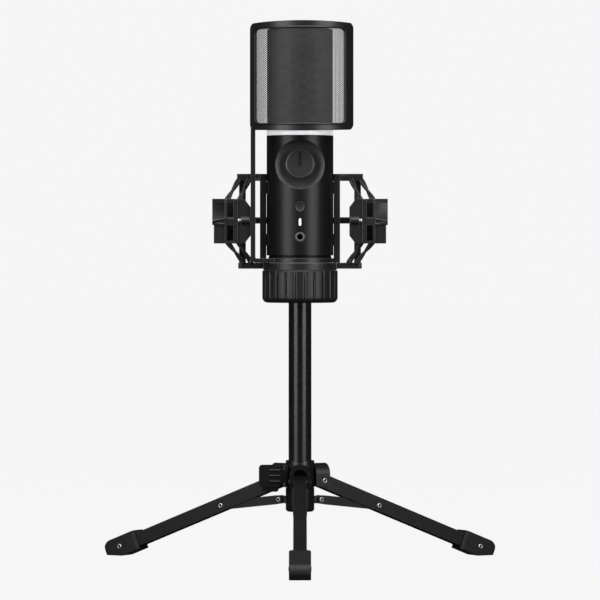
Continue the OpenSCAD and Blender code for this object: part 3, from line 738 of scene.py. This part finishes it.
@dataclass
class Tripod:
    """Tube, hubs, folding legs, braces, feet and their rivets."""

    tube_radius: float = 8.0 * MM
    rivet_radius: float = 1.75 * MM
    rivet_hole: float = 0.85 * MM
    shank_radius: float = 1.3 * MM
    head_lift: float = 0.33 * MM
    low_head_lift: float = 0.1 * MM
    tube_y: float = 38.0 * MM
    foot_rivet: tuple[float, float, float] = (145.32 * MM, 6.72 * MM, 7.4 * MM)
    knee_rivet: tuple[float, float, float] = (62.35 * MM, 38.37 * MM, 4.6 * MM)
    hub_pin: tuple[float, float, float] = (16.0 * MM, 57.4 * MM, 7.4 * MM)
    ear_pin: tuple[float, float, float] = (15.9 * MM, 43.9 * MM, 3.3 * MM)
    sides: tuple[tuple[str, float], ...] = (("front", -90.0), ("left", 150.0), ("right", 30.0))

    def build(self) -> None:
        """Makes every piece of the tripod."""
        self._tube()
        self._hubs()
        for side, azimuth in self.sides:
            self._leg(side, azimuth)
        self._hub_rivets()
        for node in ("tube_plug", "tilt_bolt", "lever_pin"):
            dress(node, ZINC)
        dress("lock_shoe", BRASS)

    def _tube(self) -> None:
        """The upright tube, open at both ends, with soft end edges."""
        low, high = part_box("stand_tube")
        r, wall, edge = self.tube_radius, 1.2 * MM, 0.3 * MM
        profile = [
            (r - wall, low.z), (r - edge, low.z), (r, low.z + edge), (r, high.z - edge),
            (r - edge, high.z), (r - wall, high.z),
        ]
        tube = add_piece("tube", turned(profile, centre=(0.0, self.tube_y, 0.0), steps=128), TUBE_COAT)
        place_on(tube, "stand", "black_paint", "stand_tube")

    def _hubs(self) -> None:
        """Fixed hub, swivel fork, sliding hub and lock lever."""
        # The sliding hub and lock lever get a painted highlight on their rounded edges.
        for node, body, width, edge in (
            ("lower_hub", "stand", 0.35, None), ("swivel_socket", "stand", 0.4, None),
            ("slider_hub", "slider", 0.5, PAINTED_HIGHLIGHT), ("lock_lever", "lock_lever_body", 0.45, PAINTED_HIGHLIGHT),
        ):
            place_on(softened(node, HUB_NYLON, width * MM, edge=edge), body, "hub_plastic", node)

    def _leg(self, side: str, azimuth: float) -> None:
        """One leg with its foot, brace and rivets.

        Args:
            side: Which leg.
            azimuth: Its bearing in degrees.
        """
        body = f"leg_{side}_body"
        # The leg and its brace get a painted highlight on their rounded edges.
        leg = softened(f"leg_{side}", POWDER, 0.4 * MM, edge=PAINTED_HIGHLIGHT)
        place_on(leg, body, "black_paint", f"leg_{side}")
        foot = softened(f"foot_{side}", RUBBER, 1.1 * MM, 3, 38.0)
        place_on(foot, body, "boot_rubber", f"foot_{side}")
        brace = softened(f"brace_{side}", POWDER, 0.3 * MM, edge=PAINTED_HIGHLIGHT)
        place_on(brace, f"brace_{side}_body", "black_paint", f"brace_{side}")
        mesh = bmesh.new()
        for pin in (self.foot_rivet, self.knee_rivet):
            self._rivet(mesh, azimuth, pin, self.head_lift)
        rivets = add_piece(f"rivets_{side}_heads", mesh, ZINC)
        place_on(rivets, body, "zinc_steel", f"rivets_{side}")

    def _hub_rivets(self) -> None:
        """The pins of the three clevises and of the three ears."""
        pins, ears = bmesh.new(), bmesh.new()
        for _, azimuth in self.sides:
            self._rivet(pins, azimuth, self.hub_pin, self.head_lift)
            self._rivet(ears, azimuth, self.ear_pin, self.low_head_lift)
        place_on(add_piece("leg_pins_heads", pins, ZINC), "slider", "zinc_steel", "leg_pins")
        place_on(add_piece("ear_rivets", ears, NICKEL), "stand", "zinc_steel")

    def _rivet(self, mesh: bmesh.types.BMesh, azimuth: float, pin: tuple[float, float, float],
               lift: float) -> None:
        """Adds a hollow rivet across a leg, with a rolled head at each end.

        Args:
            mesh: The bmesh to add to.
            azimuth: The leg's bearing in degrees.
            pin: Distance from the tube's axis, height, and half the width it holds together.
            lift: How far the heads stand proud.
        """
        reach, height, half = pin
        turn = math.radians(azimuth)
        centre = Vector((math.cos(turn) * reach, self.tube_y + math.sin(turn) * reach, height))
        along = Vector((-math.sin(turn), math.cos(turn), 0.0))
        head, bore, shank, end = self.rivet_radius, self.rivet_hole, self.shank_radius, half + lift
        upper = [
            (shank, half), (head, half), (head - 0.15 * MM, half + lift * 0.65),
            (bore + 0.25 * MM, end), (bore, end - lift * 0.3),
        ]
        profile = [(radius, -h) for radius, h in reversed(upper)] + upper
        rivet = turned(profile, steps=28)
        lean = Axis.Z.vector.rotation_difference(along).to_matrix().to_4x4()
        bmesh.ops.transform(rivet, matrix=Matrix.Translation(centre) @ lean, verts=rivet.verts)
        merge(mesh, rivet)


# ---------------------------------------------------------------- shock mount


# X and Z in mm of each cord's ends, on the carrier and on the cradle.
CORD_ENDS = {
    "upper": (((50.4, 253.4), (42.0, 267.6)), ((41.7, 253.4), (35.2, 267.8))),
    "lower": (((49.9, 224.2), (38.6, 209.9)), ((42.4, 224.2), (33.4, 209.9))),
}


@dataclass
class ShockMount:
    """Yoke, cord carriers, elastic cords, cradle and thumb nut."""

    axis_y: float = -3.0 * MM
    cord_radius: float = 0.85 * MM
    strand_gap: float = 1.9 * MM
    cord_twist: float = math.radians(200.0)
    carrier_depth: float = 9.6 * MM
    cradle_depth: float = 5.6 * MM
    nut_radius: float = 26.0 * MM
    flutes: int = 24
    flute_depth: float = 0.8 * MM
    flute_floor: float = 21.5 * MM
    screw_radius: float = 1.75 * MM

    def build(self) -> None:
        """Makes every piece of the shock mount."""
        # The yoke, carriers and cradle get a painted highlight on their rounded edges.
        for node, width in (("yoke_stem", 0.6), ("yoke_band", 0.6), ("carrier_left", 0.35),
                            ("carrier_right", 0.35)):
            place_on(softened(node, NYLON, width * MM, edge=PAINTED_HIGHLIGHT), "yoke", "mount_plastic", node)
        for node in ("cradle_base", "cradle_band", "cradle_side_left", "cradle_side_right"):
            place_on(softened(node, NYLON, 0.4 * MM, edge=PAINTED_HIGHLIGHT), "cradle", "mount_plastic", node)
        place_on(softened("tilt_knob", NYLON, 0.5 * MM), "tilt_knob_body", "mount_plastic", "tilt_knob")
        dress("cradle_pads", RUBBER)
        self._screws()
        self._cords("upper")
        self._cords("lower")
        self._thumb_nut()

    def _screws(self) -> None:
        """Screw heads with a shallow round recess that lie against the ends of the bosses."""
        low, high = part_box("carrier_screws")
        middle = (low.z + high.z) / 2
        r, length = self.screw_radius, 2.2 * MM
        mesh = bmesh.new()
        profile = [
            (0.0, 0.3 * MM), (r * 0.55, 0.3 * MM), (r * 0.62, 0.0), (r * 0.9, 0.0), (r, 0.25 * MM),
            (r, length * 0.55), (r * 0.88, length * 0.62), (r * 0.88, length), (0.0, length),
        ]
        for end, way in ((low.x, 1.0), (high.x, -1.0)):
            head = turned([(x, way * h) for x, h in profile], Axis.X, (end, low.y + r, middle), 32)
            merge(mesh, head)
        screws = add_piece("carrier_screw_heads", mesh, NICKEL)
        place_on(screws, "yoke", "zinc_steel", "carrier_screws")

    def _hooks(self, level: str) -> list[tuple[Vector, Vector]]:
        """Ends of each cord, from the carrier to the cradle.

        Args:
            level: "upper" or "lower".

        Returns:
            Pairs of points.
        """
        outer, inner = self.carrier_depth, self.cradle_depth
        return [
            (Vector((side * x0 * MM, self.axis_y + face * outer, z0 * MM)),
             Vector((side * x1 * MM, self.axis_y + face * inner, z1 * MM)))
            for side in (-1, 1) for face in (-1, 1) for (x0, z0), (x1, z1) in CORD_ENDS[level]
        ]

    def _cords(self, level: str) -> None:
        """Double elastic strands between the carriers and the cradle.

        Args:
            level: "upper" or "lower".
        """
        curve = round_curve("strands", self.cord_radius)
        for start, end in self._hooks(level):
            for strand in (-1, 1):
                self._strand(curve, start, end, strand)
        cords = as_mesh(f"cords_{level}_strands", curve, CORD_SLEEVE)
        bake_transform(cords)
        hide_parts(f"cords_{level}")

    def _strand(self, curve: bpy.types.Curve, start: Vector, end: Vector, strand: int) -> None:
        """Adds one strand of a twisted pair.

        Args:
            curve: The curve to add to.
            start: Where the pair leaves the carrier.
            end: Where it reaches the cradle.
            strand: -1 or 1, the side it starts on.
        """
        steps = 10
        side = (end - start).cross(Axis.Y.vector).normalized()
        spline = curve.splines.new("POLY")
        spline.points.add(steps)
        for i, point in enumerate(spline.points):
            turn = self.cord_twist * i / steps
            twist = side * (strand * self.strand_gap / 2 * math.cos(turn))
            depth = Axis.Y.vector * (strand * self.strand_gap / 3 * math.sin(turn))
            point.co = (*(start.lerp(end, i / steps) + twist + depth), 1.0)

    def _thumb_nut(self) -> None:
        """The hollow nut with broad grip flutes and a rounded bottom edge."""
        low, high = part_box("thumb_nut")
        r, bore, edge, lip = self.nut_radius, 16.6 * MM, 3.6 * MM, 0.5 * MM
        bottom = [(r - edge * (1 - math.sin(a)), low.z + edge * (1 - math.cos(a)))
                  for a in (math.radians(d) for d in range(0, 91, 15))]
        sides = [(r, low.z + edge + (high.z - lip - low.z - edge) * i / 6) for i in range(1, 7)]
        profile = [(bore, low.z)] + bottom + sides + [(r - lip, high.z), (bore, high.z)]
        mesh = turned(profile, centre=(0.0, self.axis_y, 0.0), steps=self.flutes * 14)
        pitch = TURN / self.flutes
        for vert in mesh.verts:
            x, y = vert.co.x, vert.co.y - self.axis_y
            radius = math.hypot(x, y)
            if radius < self.flute_floor:
                continue
            phase = (math.atan2(y, x) / pitch) % 1.0
            groove = max(0.0, 1.0 - abs(phase - 0.5) / 0.13)
            depth = self.flute_depth * groove * groove * (3 - 2 * groove)
            fade = (min(1.0, (high.z - vert.co.z) / (1.2 * MM))
                    * min(1.0, (radius - self.flute_floor) / (2.5 * MM)))
            scale = (radius - depth * max(0.0, fade)) / radius
            vert.co.x, vert.co.y = x * scale, self.axis_y + y * scale
        nut = add_piece("thumb_nut_grip", mesh, NYLON, 40.0)
        place_on(nut, "thumb_nut_body", "mount_plastic", "thumb_nut")


# ---------------------------------------------------------------- microphone


@dataclass
class Microphone:
    """Body, light ring, grille, dish, knob and the other controls."""

    axis_y: float = -3.0 * MM
    radius: float = 23.0 * MM
    wall: float = 2.0 * MM
    base_radius: float = 21.8 * MM
    knob_z: float = 277.7 * MM
    knob_radius: float = 9.8 * MM
    knob_hollow: float = 0.45 * MM
    shaft_hole: float = 3.6 * MM
    dish_radius: float = 17.1 * MM
    dish_floor_radius: float = 10.6 * MM
    dish_floor_y: float = -13.2 * MM
    dish_fall: float = 2.25 * MM
    rim_chamfer: float = 0.25 * MM
    inlay_width: float = 9.0 * MM
    grille_pitch: float = 1.7 * MM
    grille_hole: float = 0.62 * MM

    def build(self) -> None:
        """Makes every piece of the microphone."""
        self._body()
        self._base()
        self._dish()
        self._knob()
        self._button()
        self._socket()
        self._lamp()
        self._light_ring()
        self._grille()
        dress("control_inlay", SATIN_INLAY)
        for node, finish in (
            ("thread_collar", ZINC), ("usb_port", ZINC), ("potentiometer", ZINC), ("mute_switch", ZINC),
            ("gain_shaft", ZINC), ("main_board", BOARD), ("chassis", INNER), ("capsule", BRASS),
            ("foam_liner", FOAM),
        ):
            dress(node, finish)

    def _front(self, x: float) -> float:
        """Y of the body's front surface at a sideways distance x."""
        return self.axis_y - math.sqrt(self.radius ** 2 - x ** 2)

    def _body(self) -> None:
        """The shell, with soft rims and openings for the dish and the inlay."""
        low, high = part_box("mic_body")
        r, inner, edge = self.radius, self.radius - self.wall, 0.4 * MM
        profile = [
            (inner, low.z), (r - edge, low.z), (r - edge * 0.3, low.z + edge * 0.3), (r, low.z + edge),
            (r, high.z - edge), (r - edge * 0.3, high.z - edge * 0.3), (r - edge, high.z), (inner, high.z),
        ]
        shell = add_piece("body_tube", turned(profile, centre=(0.0, self.axis_y, 0.0), steps=192), ANODISED)
        inlay_low, inlay_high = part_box("control_inlay")
        front = self.axis_y - r - 3 * MM
        inlay_plug = pill(self.inlay_width / 2, inlay_low.z, inlay_high.z, front, 12 * MM, 64)
        carve(shell, [self._dish_cutter(), inlay_plug])
        place_on(shell, "cradle", "body_shell", "mic_body")

    def _dish_cutter(self) -> bmesh.types.BMesh:
        """A round plug that opens the shell for the dish."""
        mesh = bmesh.new()
        matrix = Matrix.Translation((0.0, self.axis_y - self.radius, self.knob_z)) @ Matrix.Rotation(
            math.pi / 2, 4, "X")
        bmesh.ops.create_cone(mesh, cap_ends=True, segments=128, radius1=self.dish_radius,
                              radius2=self.dish_radius, depth=30 * MM, matrix=matrix)
        return mesh

    def _base(self) -> None:
        """The base, a little smaller than the shell, with a groove under it."""
        low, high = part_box("mic_base")
        r, bore = self.base_radius, 8.0 * MM
        profile = [
            (bore, low.z), (r - 0.7 * MM, low.z), (r - 0.3 * MM, low.z + 0.3 * MM), (r, high.z - 0.9 * MM),
            (r - 0.5 * MM, high.z - 0.5 * MM), (r - 0.5 * MM, high.z), (bore, high.z),
        ]
        base = add_piece("base_ring", turned(profile, centre=(0.0, self.axis_y, 0.0)), ANODISED)
        place_on(base, "cradle", "body_shell")
        dress("mic_base", INNER)

    def _dish(self) -> None:
        """The dish: an upright wall at the rim, then a cone that falls to a flat round floor."""
        mesh = bmesh.new()
        floor, floor_radius = self.dish_floor_y, self.dish_floor_radius
        back, cone = floor + 0.6 * MM, floor - self.dish_fall
        rim = self.dish_radius - 0.03 * MM
        inner = rim - self.rim_chamfer
        loops = [
            self._dish_loop(mesh, rim, self._front),
            self._dish_loop(mesh, inner, lambda x: self._front(x) + self.rim_chamfer),
            self._dish_loop(mesh, inner, lambda x: max(self._front(x) + 0.02 * MM, self.axis_y + cone)),
        ]
        for radius, depth in (
            (inner - 0.15 * MM, cone + 0.05 * MM), (floor_radius + 0.2 * MM, floor - 0.07 * MM),
            (floor_radius, floor), (self.shaft_hole, floor), (self.shaft_hole, back), (rim, back),
        ):
            loops.append(self._dish_loop(mesh, radius, lambda x, y=self.axis_y + depth: y))
        for first, second in zip(loops, loops[1:] + loops[:1]):
            bmesh.ops.bridge_loops(mesh, edges=first + second)
        bmesh.ops.recalc_face_normals(mesh, faces=mesh.faces)
        # The dish takes a paler, painted-light copy of the anodised black.
        dish = add_piece("knob_dish_scoop", mesh, TURNED_PAINTED_LIGHT, 12.0)
        place_on(dish, "cradle", "body_shell", "knob_dish")

    def _dish_loop(self, mesh: bmesh.types.BMesh, radius: float,
                   depth_at: Callable[[float], float]) -> list[bmesh.types.BMEdge]:
        """Adds a ring round the knob's axis.

        Args:
            mesh: The bmesh to add to.
            radius: The ring's radius.
            depth_at: Gives Y of the ring at a sideways distance x.

        Returns:
            The ring's edges.
        """
        made = bmesh.ops.create_circle(mesh, segments=144, radius=radius)["verts"]
        for vert in made:
            x, z = vert.co.x, vert.co.y
            vert.co = Vector((x, depth_at(x), self.knob_z + z))
        return list({edge for vert in made for edge in vert.link_edges})

    def _knob(self) -> None:
        """The gain knob: a shallow hollow face, a bright cut edge and a pointer groove darkened with painted
        shade.
        """
        low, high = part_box("gain_knob")
        r, front, back = self.knob_radius, low.y, high.y
        skirt = self.axis_y + self.dish_floor_y - 0.3 * MM - back
        profile = [(r * share, front + 0.1 * MM + self._hollow(share) - back)
                   for share in (0.0, 0.2, 0.4, 0.6, 0.8, 0.91)]
        profile += [
            (r * 0.935, front - back), (r * 0.975, front - back + 0.08 * MM), (r, front - back + 0.5 * MM),
            (r, skirt - 0.3 * MM), (r - 0.3 * MM, skirt), (2.6 * MM, skirt), (2.6 * MM, 0.0), (0.0, 0.0),
        ]
        centre = (0.0, back, self.knob_z)
        knob = add_piece("gain_knob_cap", turned(profile, Axis.Y, centre, 128), KNOB_FACE, 24.0)
        low_end, high_end = self.knob_z - 1.5 * MM, self.knob_z + 8.4 * MM
        pointer = pill(1.0 * MM, low_end, high_end, front - 1.0 * MM, 2.2 * MM, 32)
        carve(knob, [pointer])
        knob.data.materials.append(material_of(BRIGHT_EDGE))
        knob.data.materials.append(material_of(SHADOW))
        # Faces inside the pointer groove take the painted shade colour.
        for polygon in knob.data.polygons:
            middle = polygon.center - Vector((0.0, 0.0, self.knob_z))
            out = math.hypot(middle.x, middle.z)
            if r * 0.925 < out < r * 0.985 and middle.y < front + 0.2 * MM:
                polygon.material_index = 1
            elif out < r * 0.92 and 0.3 * MM + self._hollow(out / r) < middle.y - front < 2.1 * MM:
                polygon.material_index = 2
        place_on(knob, "gain_knob_body", "knob_black", "gain_knob")

    def _hollow(self, share: float) -> float:
        """Depth of the knob's hollow face.

        Args:
            share: Distance from the knob's middle as a share of its radius.

        Returns:
            The depth below the hollow's rim.
        """
        return self.knob_hollow * (1 - share * share)

    def _button(self) -> None:
        """The mute button, slightly hollow, with a raised ring."""
        low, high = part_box("mute_button")
        r, length = (high.x - low.x) / 2, high.y - low.y
        profile = [
            (0.0, -length + 0.45 * MM), (r * 0.5, -length + 0.38 * MM), (r * 0.72, -length + 0.22 * MM),
            (r * 0.8, -length), (r * 0.93, -length + 0.02 * MM), (r, -length + 0.25 * MM), (r, 0.0),
            (0.0, 0.0),
        ]
        mesh = turned(profile, Axis.Y, (0.0, high.y, (low.z + high.z) / 2), 64)
        place_on(add_piece("mute_button_cap", mesh, KNOB_FACE, 30.0), "mute_button_body", "control_gloss",
                 "mute_button")

    def _socket(self) -> None:
        """The headphone socket: a rounded collar in a pale grey that paints its highlight, round a bore
        darkened with painted shade.
        """
        low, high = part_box("headphone_jack")
        front, z = low.y, 227.9 * MM
        r, bore = 3.5 * MM, 1.8 * MM
        middle, half = (r + bore) / 2, (r - bore) / 2
        bulge = [(middle - half * math.cos(turn), half * (1 - math.sin(turn)))
                 for turn in (math.pi * step / 10 for step in range(11))]
        profile = bulge + [
            (r, 3.0 * MM), (2.6 * MM, 3.0 * MM), (2.6 * MM, 12.0 * MM), (0.0, 12.0 * MM), (0.0, 11.4 * MM),
            (bore, 11.4 * MM),
        ]
        # The collar's pale grey is a painted highlight.
        collar = add_piece("headphone_collar", turned(profile, Axis.Y, (0.0, front, z), 56), PAINTED_HIGHLIGHT, 40.0)
        collar.data.materials.append(material_of(SHADOW))
        # The bore's faces take the painted shade colour.
        for face in collar.data.polygons:
            middle = face.center
            if math.hypot(middle.x, middle.z - z) < bore + 0.02 * MM:
                face.material_index = 1
        place_on(collar, "cradle", "control_gloss", "headphone_jack")

    def _lamp(self) -> None:
        """The lit slot between the button and the socket."""
        low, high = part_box("led_window")
        mesh = bmesh.new()
        inset = Vector((0.15 * MM, 0.0, 0.15 * MM))
        block(mesh, low + inset, high - inset)
        upright = [edge for edge in mesh.edges if abs((edge.verts[0].co - edge.verts[1].co).y) > 1 * MM]
        bmesh.ops.bevel(mesh, geom=upright, offset=0.7 * MM, segments=5, profile=0.5, affect="EDGES",
                        material=-1)
        lamp = add_piece("lamp_bar", mesh, LAMP_LIGHT)
        place_on(lamp, "cradle", "light_diffuser", "led_window")

    def _light_ring(self) -> None:
        """The white ring under the grille, with a shallow groove round its middle."""
        low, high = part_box("light_ring")
        r, depth, span = self.radius, 0.35 * MM, high.z - low.z
        outside = [(r - 0.15 * MM, low.z), (r, low.z + 0.15 * MM)]
        for share, sink in ((0.34, 0.0), (0.38, depth), (0.66, depth), (0.70, 0.0)):
            outside.append((r - sink, low.z + span * share))
        outside += [(r, high.z - 0.15 * MM), (r - 0.15 * MM, high.z)]
        profile = [(r - 3 * MM, low.z)] + outside + [(r - 3 * MM, high.z)]
        mesh = turned(profile, centre=(0.0, self.axis_y, 0.0), steps=144)
        ring = add_piece("light_band", mesh, RING_LIGHT, 20.0)
        place_on(ring, "cradle", "light_diffuser", "light_ring")

    def _grille(self) -> None:
        """The perforated sleeve and its domed cap."""
        low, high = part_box("grille")
        radius = (high.x - low.x) / 2 - 0.3 * MM
        sheet = perforated(TURN * radius, high.z - low.z, self.grille_pitch, self.grille_hole)
        roll(sheet, (0.0, self.axis_y, (low.z + high.z) / 2), radius)
        bmesh.ops.remove_doubles(sheet, verts=sheet.verts, dist=0.02 * MM)
        sleeve = add_piece("grille_sleeve", sheet, MESH_COAT)
        thicken(sleeve, 0.45 * MM)
        place_on(sleeve, "cradle", "grille_steel", "grille")
        self._grille_rims(low.z, high.z, radius)

    def _grille_rims(self, low_z: float, high_z: float, radius: float) -> None:
        """The solid rims of the sleeve and the domed, perforated cap.

        Args:
            low_z: Bottom of the sleeve.
            high_z: Top of the sleeve.
            radius: Radius of the sleeve.
        """
        r = radius + 0.28 * MM
        profile = [(r - 1.1 * MM, low_z), (r, low_z), (r, low_z + 1.3 * MM), (r - 0.2 * MM, low_z + 1.5 * MM),
                   (r - 1.1 * MM, low_z + 1.5 * MM)]
        rim = add_piece("grille_foot_rim", turned(profile, centre=(0.0, self.axis_y, 0.0)), MESH_COAT)
        place_on(rim, "cradle", "grille_steel")
        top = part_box("grille_cap")[1].z
        edge = top - 2.2 * MM
        band = [(r - 1.1 * MM, high_z - 1.6 * MM), (r, high_z - 1.6 * MM), (r, edge - 1.0 * MM),
                (r - 0.3 * MM, edge - 0.3 * MM), (r - 1.0 * MM, edge), (r - 2.2 * MM, edge + 0.1 * MM),
                (r - 2.2 * MM, edge - 0.6 * MM), (r - 1.1 * MM, edge - 1.2 * MM)]
        hoop = add_piece("grille_head_hoop", turned(band, centre=(0.0, self.axis_y, 0.0)), MESH_COAT)
        place_on(hoop, "cradle", "grille_steel")
        dome = perforated(2 * r, 2 * r, self.grille_pitch, self.grille_hole)
        outer = r - 1.5 * MM
        base = edge - 0.4 * MM
        rise = top - base - 0.3 * MM
        sides = 48
        for count in range(sides):
            turn = TURN * count / sides
            normal = Vector((math.cos(turn), math.sin(turn), 0.0))
            bmesh.ops.bisect_plane(dome, geom=dome.verts[:] + dome.edges[:] + dome.faces[:],
                                   plane_co=normal * outer, plane_no=normal, clear_outer=True)
        for vert in dome.verts:
            share = min(1.0, math.hypot(vert.co.x, vert.co.y) / outer)
            vert.co = Vector((vert.co.x, vert.co.y + self.axis_y, base + rise * (1 - share ** 2.4)))
        cap = add_piece("grille_dome", dome, MESH_COAT)
        thicken(cap, 0.4 * MM)
        place_on(cap, "cradle", "grille_steel", "grille_cap")


def perforated(width: float, height: float, pitch: float, hole: float) -> bmesh.types.BMesh:
    """A flat sheet in X and Y with six-sided holes in staggered columns.

    Args:
        width: Size along X; half a hole ends each row, so that a rolled sheet joins.
        height: Size along Y.
        pitch: Distance between the middles of neighbouring holes.
        hole: Radius of a hole to its corners.

    Returns:
        The sheet, centred on the origin.
    """
    columns = 2 * round(width / (2 * pitch * math.cos(math.pi / 6)))
    rows = math.ceil(height / pitch) + 2
    mesh = bmesh.new()
    bmesh.ops.create_grid(mesh, x_segments=columns, y_segments=rows, size=0.5)
    for vert in mesh.verts:
        column = round((vert.co.x + 0.5) * columns)
        rise = vert.co.y * rows * pitch + (pitch / 2 if column % 2 else 0.0)
        vert.co = Vector((vert.co.x * width, rise, 0.0))
    bmesh.ops.triangulate(mesh, faces=mesh.faces, quad_method="SHORT_EDGE")
    bmesh.ops.bevel(mesh, geom=mesh.verts[:], offset=hole, offset_type="OFFSET", affect="VERTICES",
                    segments=1, profile=0.5, material=1)
    holes = [face for face in mesh.faces if face.material_index == 1]
    bmesh.ops.delete(mesh, geom=holes, context="FACES")
    for sign in (-1, 1):
        way = Axis.Y.vector * sign
        bmesh.ops.bisect_plane(mesh, geom=mesh.verts[:] + mesh.edges[:] + mesh.faces[:],
                               plane_co=way * height / 2, plane_no=way, clear_outer=True)
    return mesh


def roll(sheet: bmesh.types.BMesh, centre: Point, radius: float, middle: float = 0.0) -> None:
    """Bends a flat sheet round an upright axis.

    Args:
        sheet: The sheet, in X and Y about the origin.
        centre: A point on the axis, at the height of the sheet's middle.
        radius: Radius of the bend.
        middle: Bearing of the sheet's middle from the front, in radians.
    """
    for vert in sheet.verts:
        angle = middle + vert.co.x / radius
        vert.co = Vector((centre[0] + radius * math.sin(angle), centre[1] - radius * math.cos(angle),
                          centre[2] + vert.co.y))


def thicken(piece: bpy.types.Object, thickness: float) -> None:
    """Gives a thin sheet its wall, half to each side.

    Args:
        piece: The sheet.
        thickness: The wall.
    """
    wall = piece.modifiers.new("wall", "SOLIDIFY")
    wall.thickness = thickness
    wall.offset = 0.0
    wall.use_even_offset = False
    settle(piece)
    piece.data.set_sharp_from_angle(angle=math.radians(35))


# ---------------------------------------------------------------- pop filter


@dataclass
class PopFilter:
    """The curved frame, its perforated sheet and the flat arm."""

    centre_x: float = 3.2 * MM
    axis_y: float = -3.0 * MM
    sheet_radius: float = 37.3 * MM
    from_deg: float = -64.0
    to_deg: float = 55.0
    pitch: float = 1.36 * MM
    hole: float = 0.52 * MM
    frame_radius: float = 39.0 * MM
    bead_radius: float = 0.9 * MM
    window: tuple[float, float, float] = (-30.6 * MM, 30.9 * MM, 3.6 * MM)
    window_margin: float = 4.5 * MM
    root_low: tuple[float, float, float] = (-33.9, -18.3, 298.9)
    root_high: tuple[float, float, float] = (-30.7, -10.1, 304.0)

    def build(self) -> None:
        """Makes the filter."""
        # The frame and arm get a painted highlight on their rounded edges.
        frame_piece = softened("pop_frame", FRAME_SATIN, 0.7 * MM, 3, 34.0, PAINTED_HIGHLIGHT)
        place_on(frame_piece, "cradle", "filter_plastic", "pop_frame")
        arm = softened("pop_arm", FRAME_SATIN, 0.4 * MM, edge=PAINTED_HIGHLIGHT)
        place_on(arm, "cradle", "filter_plastic", "pop_arm")
        self._arm_root()
        self._bead()
        self._sheet()

    def _arm_root(self) -> None:
        """The small block that joins the arm to the frame."""
        root = bmesh.new()
        block(root, Vector(self.root_low) * MM, Vector(self.root_high) * MM)
        bmesh.ops.bevel(root, geom=list(root.edges), offset=0.5 * MM, segments=2, profile=0.5, affect="EDGES",
                        material=-1)
        place_on(add_piece("pop_arm_root", root, FRAME_SATIN), "cradle", "filter_plastic")

    def _bead(self) -> None:
        """A rounded bead that runs round the window of the frame."""
        low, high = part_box("pop_frame")
        left, right, corner = self.window
        bottom, top = low.z + self.window_margin, high.z - self.window_margin
        curve = round_curve("bead", self.bead_radius)
        outline = []
        for x, z, start in ((right - corner, top - corner, 0), (left + corner, top - corner, 90),
                            (left + corner, bottom + corner, 180), (right - corner, bottom + corner, 270)):
            for step in range(0, 91, 15):
                turn = math.radians(start + step)
                outline.append((x + corner * math.cos(turn), z + corner * math.sin(turn)))
        points = []
        for (x0, z0), (x1, z1) in zip(outline, outline[1:] + outline[:1]):
            count = max(1, round(math.hypot(x1 - x0, z1 - z0) / (1.5 * MM)))
            points += [(x0 + (x1 - x0) * i / count, z0 + (z1 - z0) * i / count) for i in range(count)]
        spline = curve.splines.new("POLY")
        spline.use_cyclic_u = True
        spline.points.add(len(points) - 1)
        radius = self.frame_radius - 0.5 * self.bead_radius
        for point, (x, z) in zip(spline.points, points):
            depth = math.sqrt(radius ** 2 - (x - self.centre_x) ** 2)
            point.co = (x, self.axis_y - depth, z, 1.0)
        place_on(as_mesh("pop_bead", curve, FRAME_SATIN), "cradle", "filter_plastic")

    def _sheet(self) -> None:
        """The perforated sheet, bent to the frame's curve."""
        low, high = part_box("pop_mesh")
        span = math.radians(self.to_deg - self.from_deg)
        middle = math.radians((self.to_deg + self.from_deg) / 2)
        sheet = perforated(span * self.sheet_radius, high.z - low.z, self.pitch, self.hole)
        roll(sheet, (self.centre_x, self.axis_y, (low.z + high.z) / 2), self.sheet_radius, middle)
        piece = add_piece("pop_sheet", sheet, MESH_COAT)
        thicken(piece, 0.14 * MM)
        place_on(piece, "cradle", "filter_mesh", "pop_mesh")


# ---------------------------------------------------------------- build


def main() -> None:
    """Builds the studio and every sub-assembly."""
    logging.basicConfig(level=logging.INFO, format="%(name)s: %(message)s")
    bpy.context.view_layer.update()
    for part in (Studio(), Tripod(), ShockMount(), Microphone(), PopFilter()):
        part.build()
        LOG.info("%s built", type(part).__name__)
    bpy.context.view_layer.update()


if __name__ == "__main__":
    main()
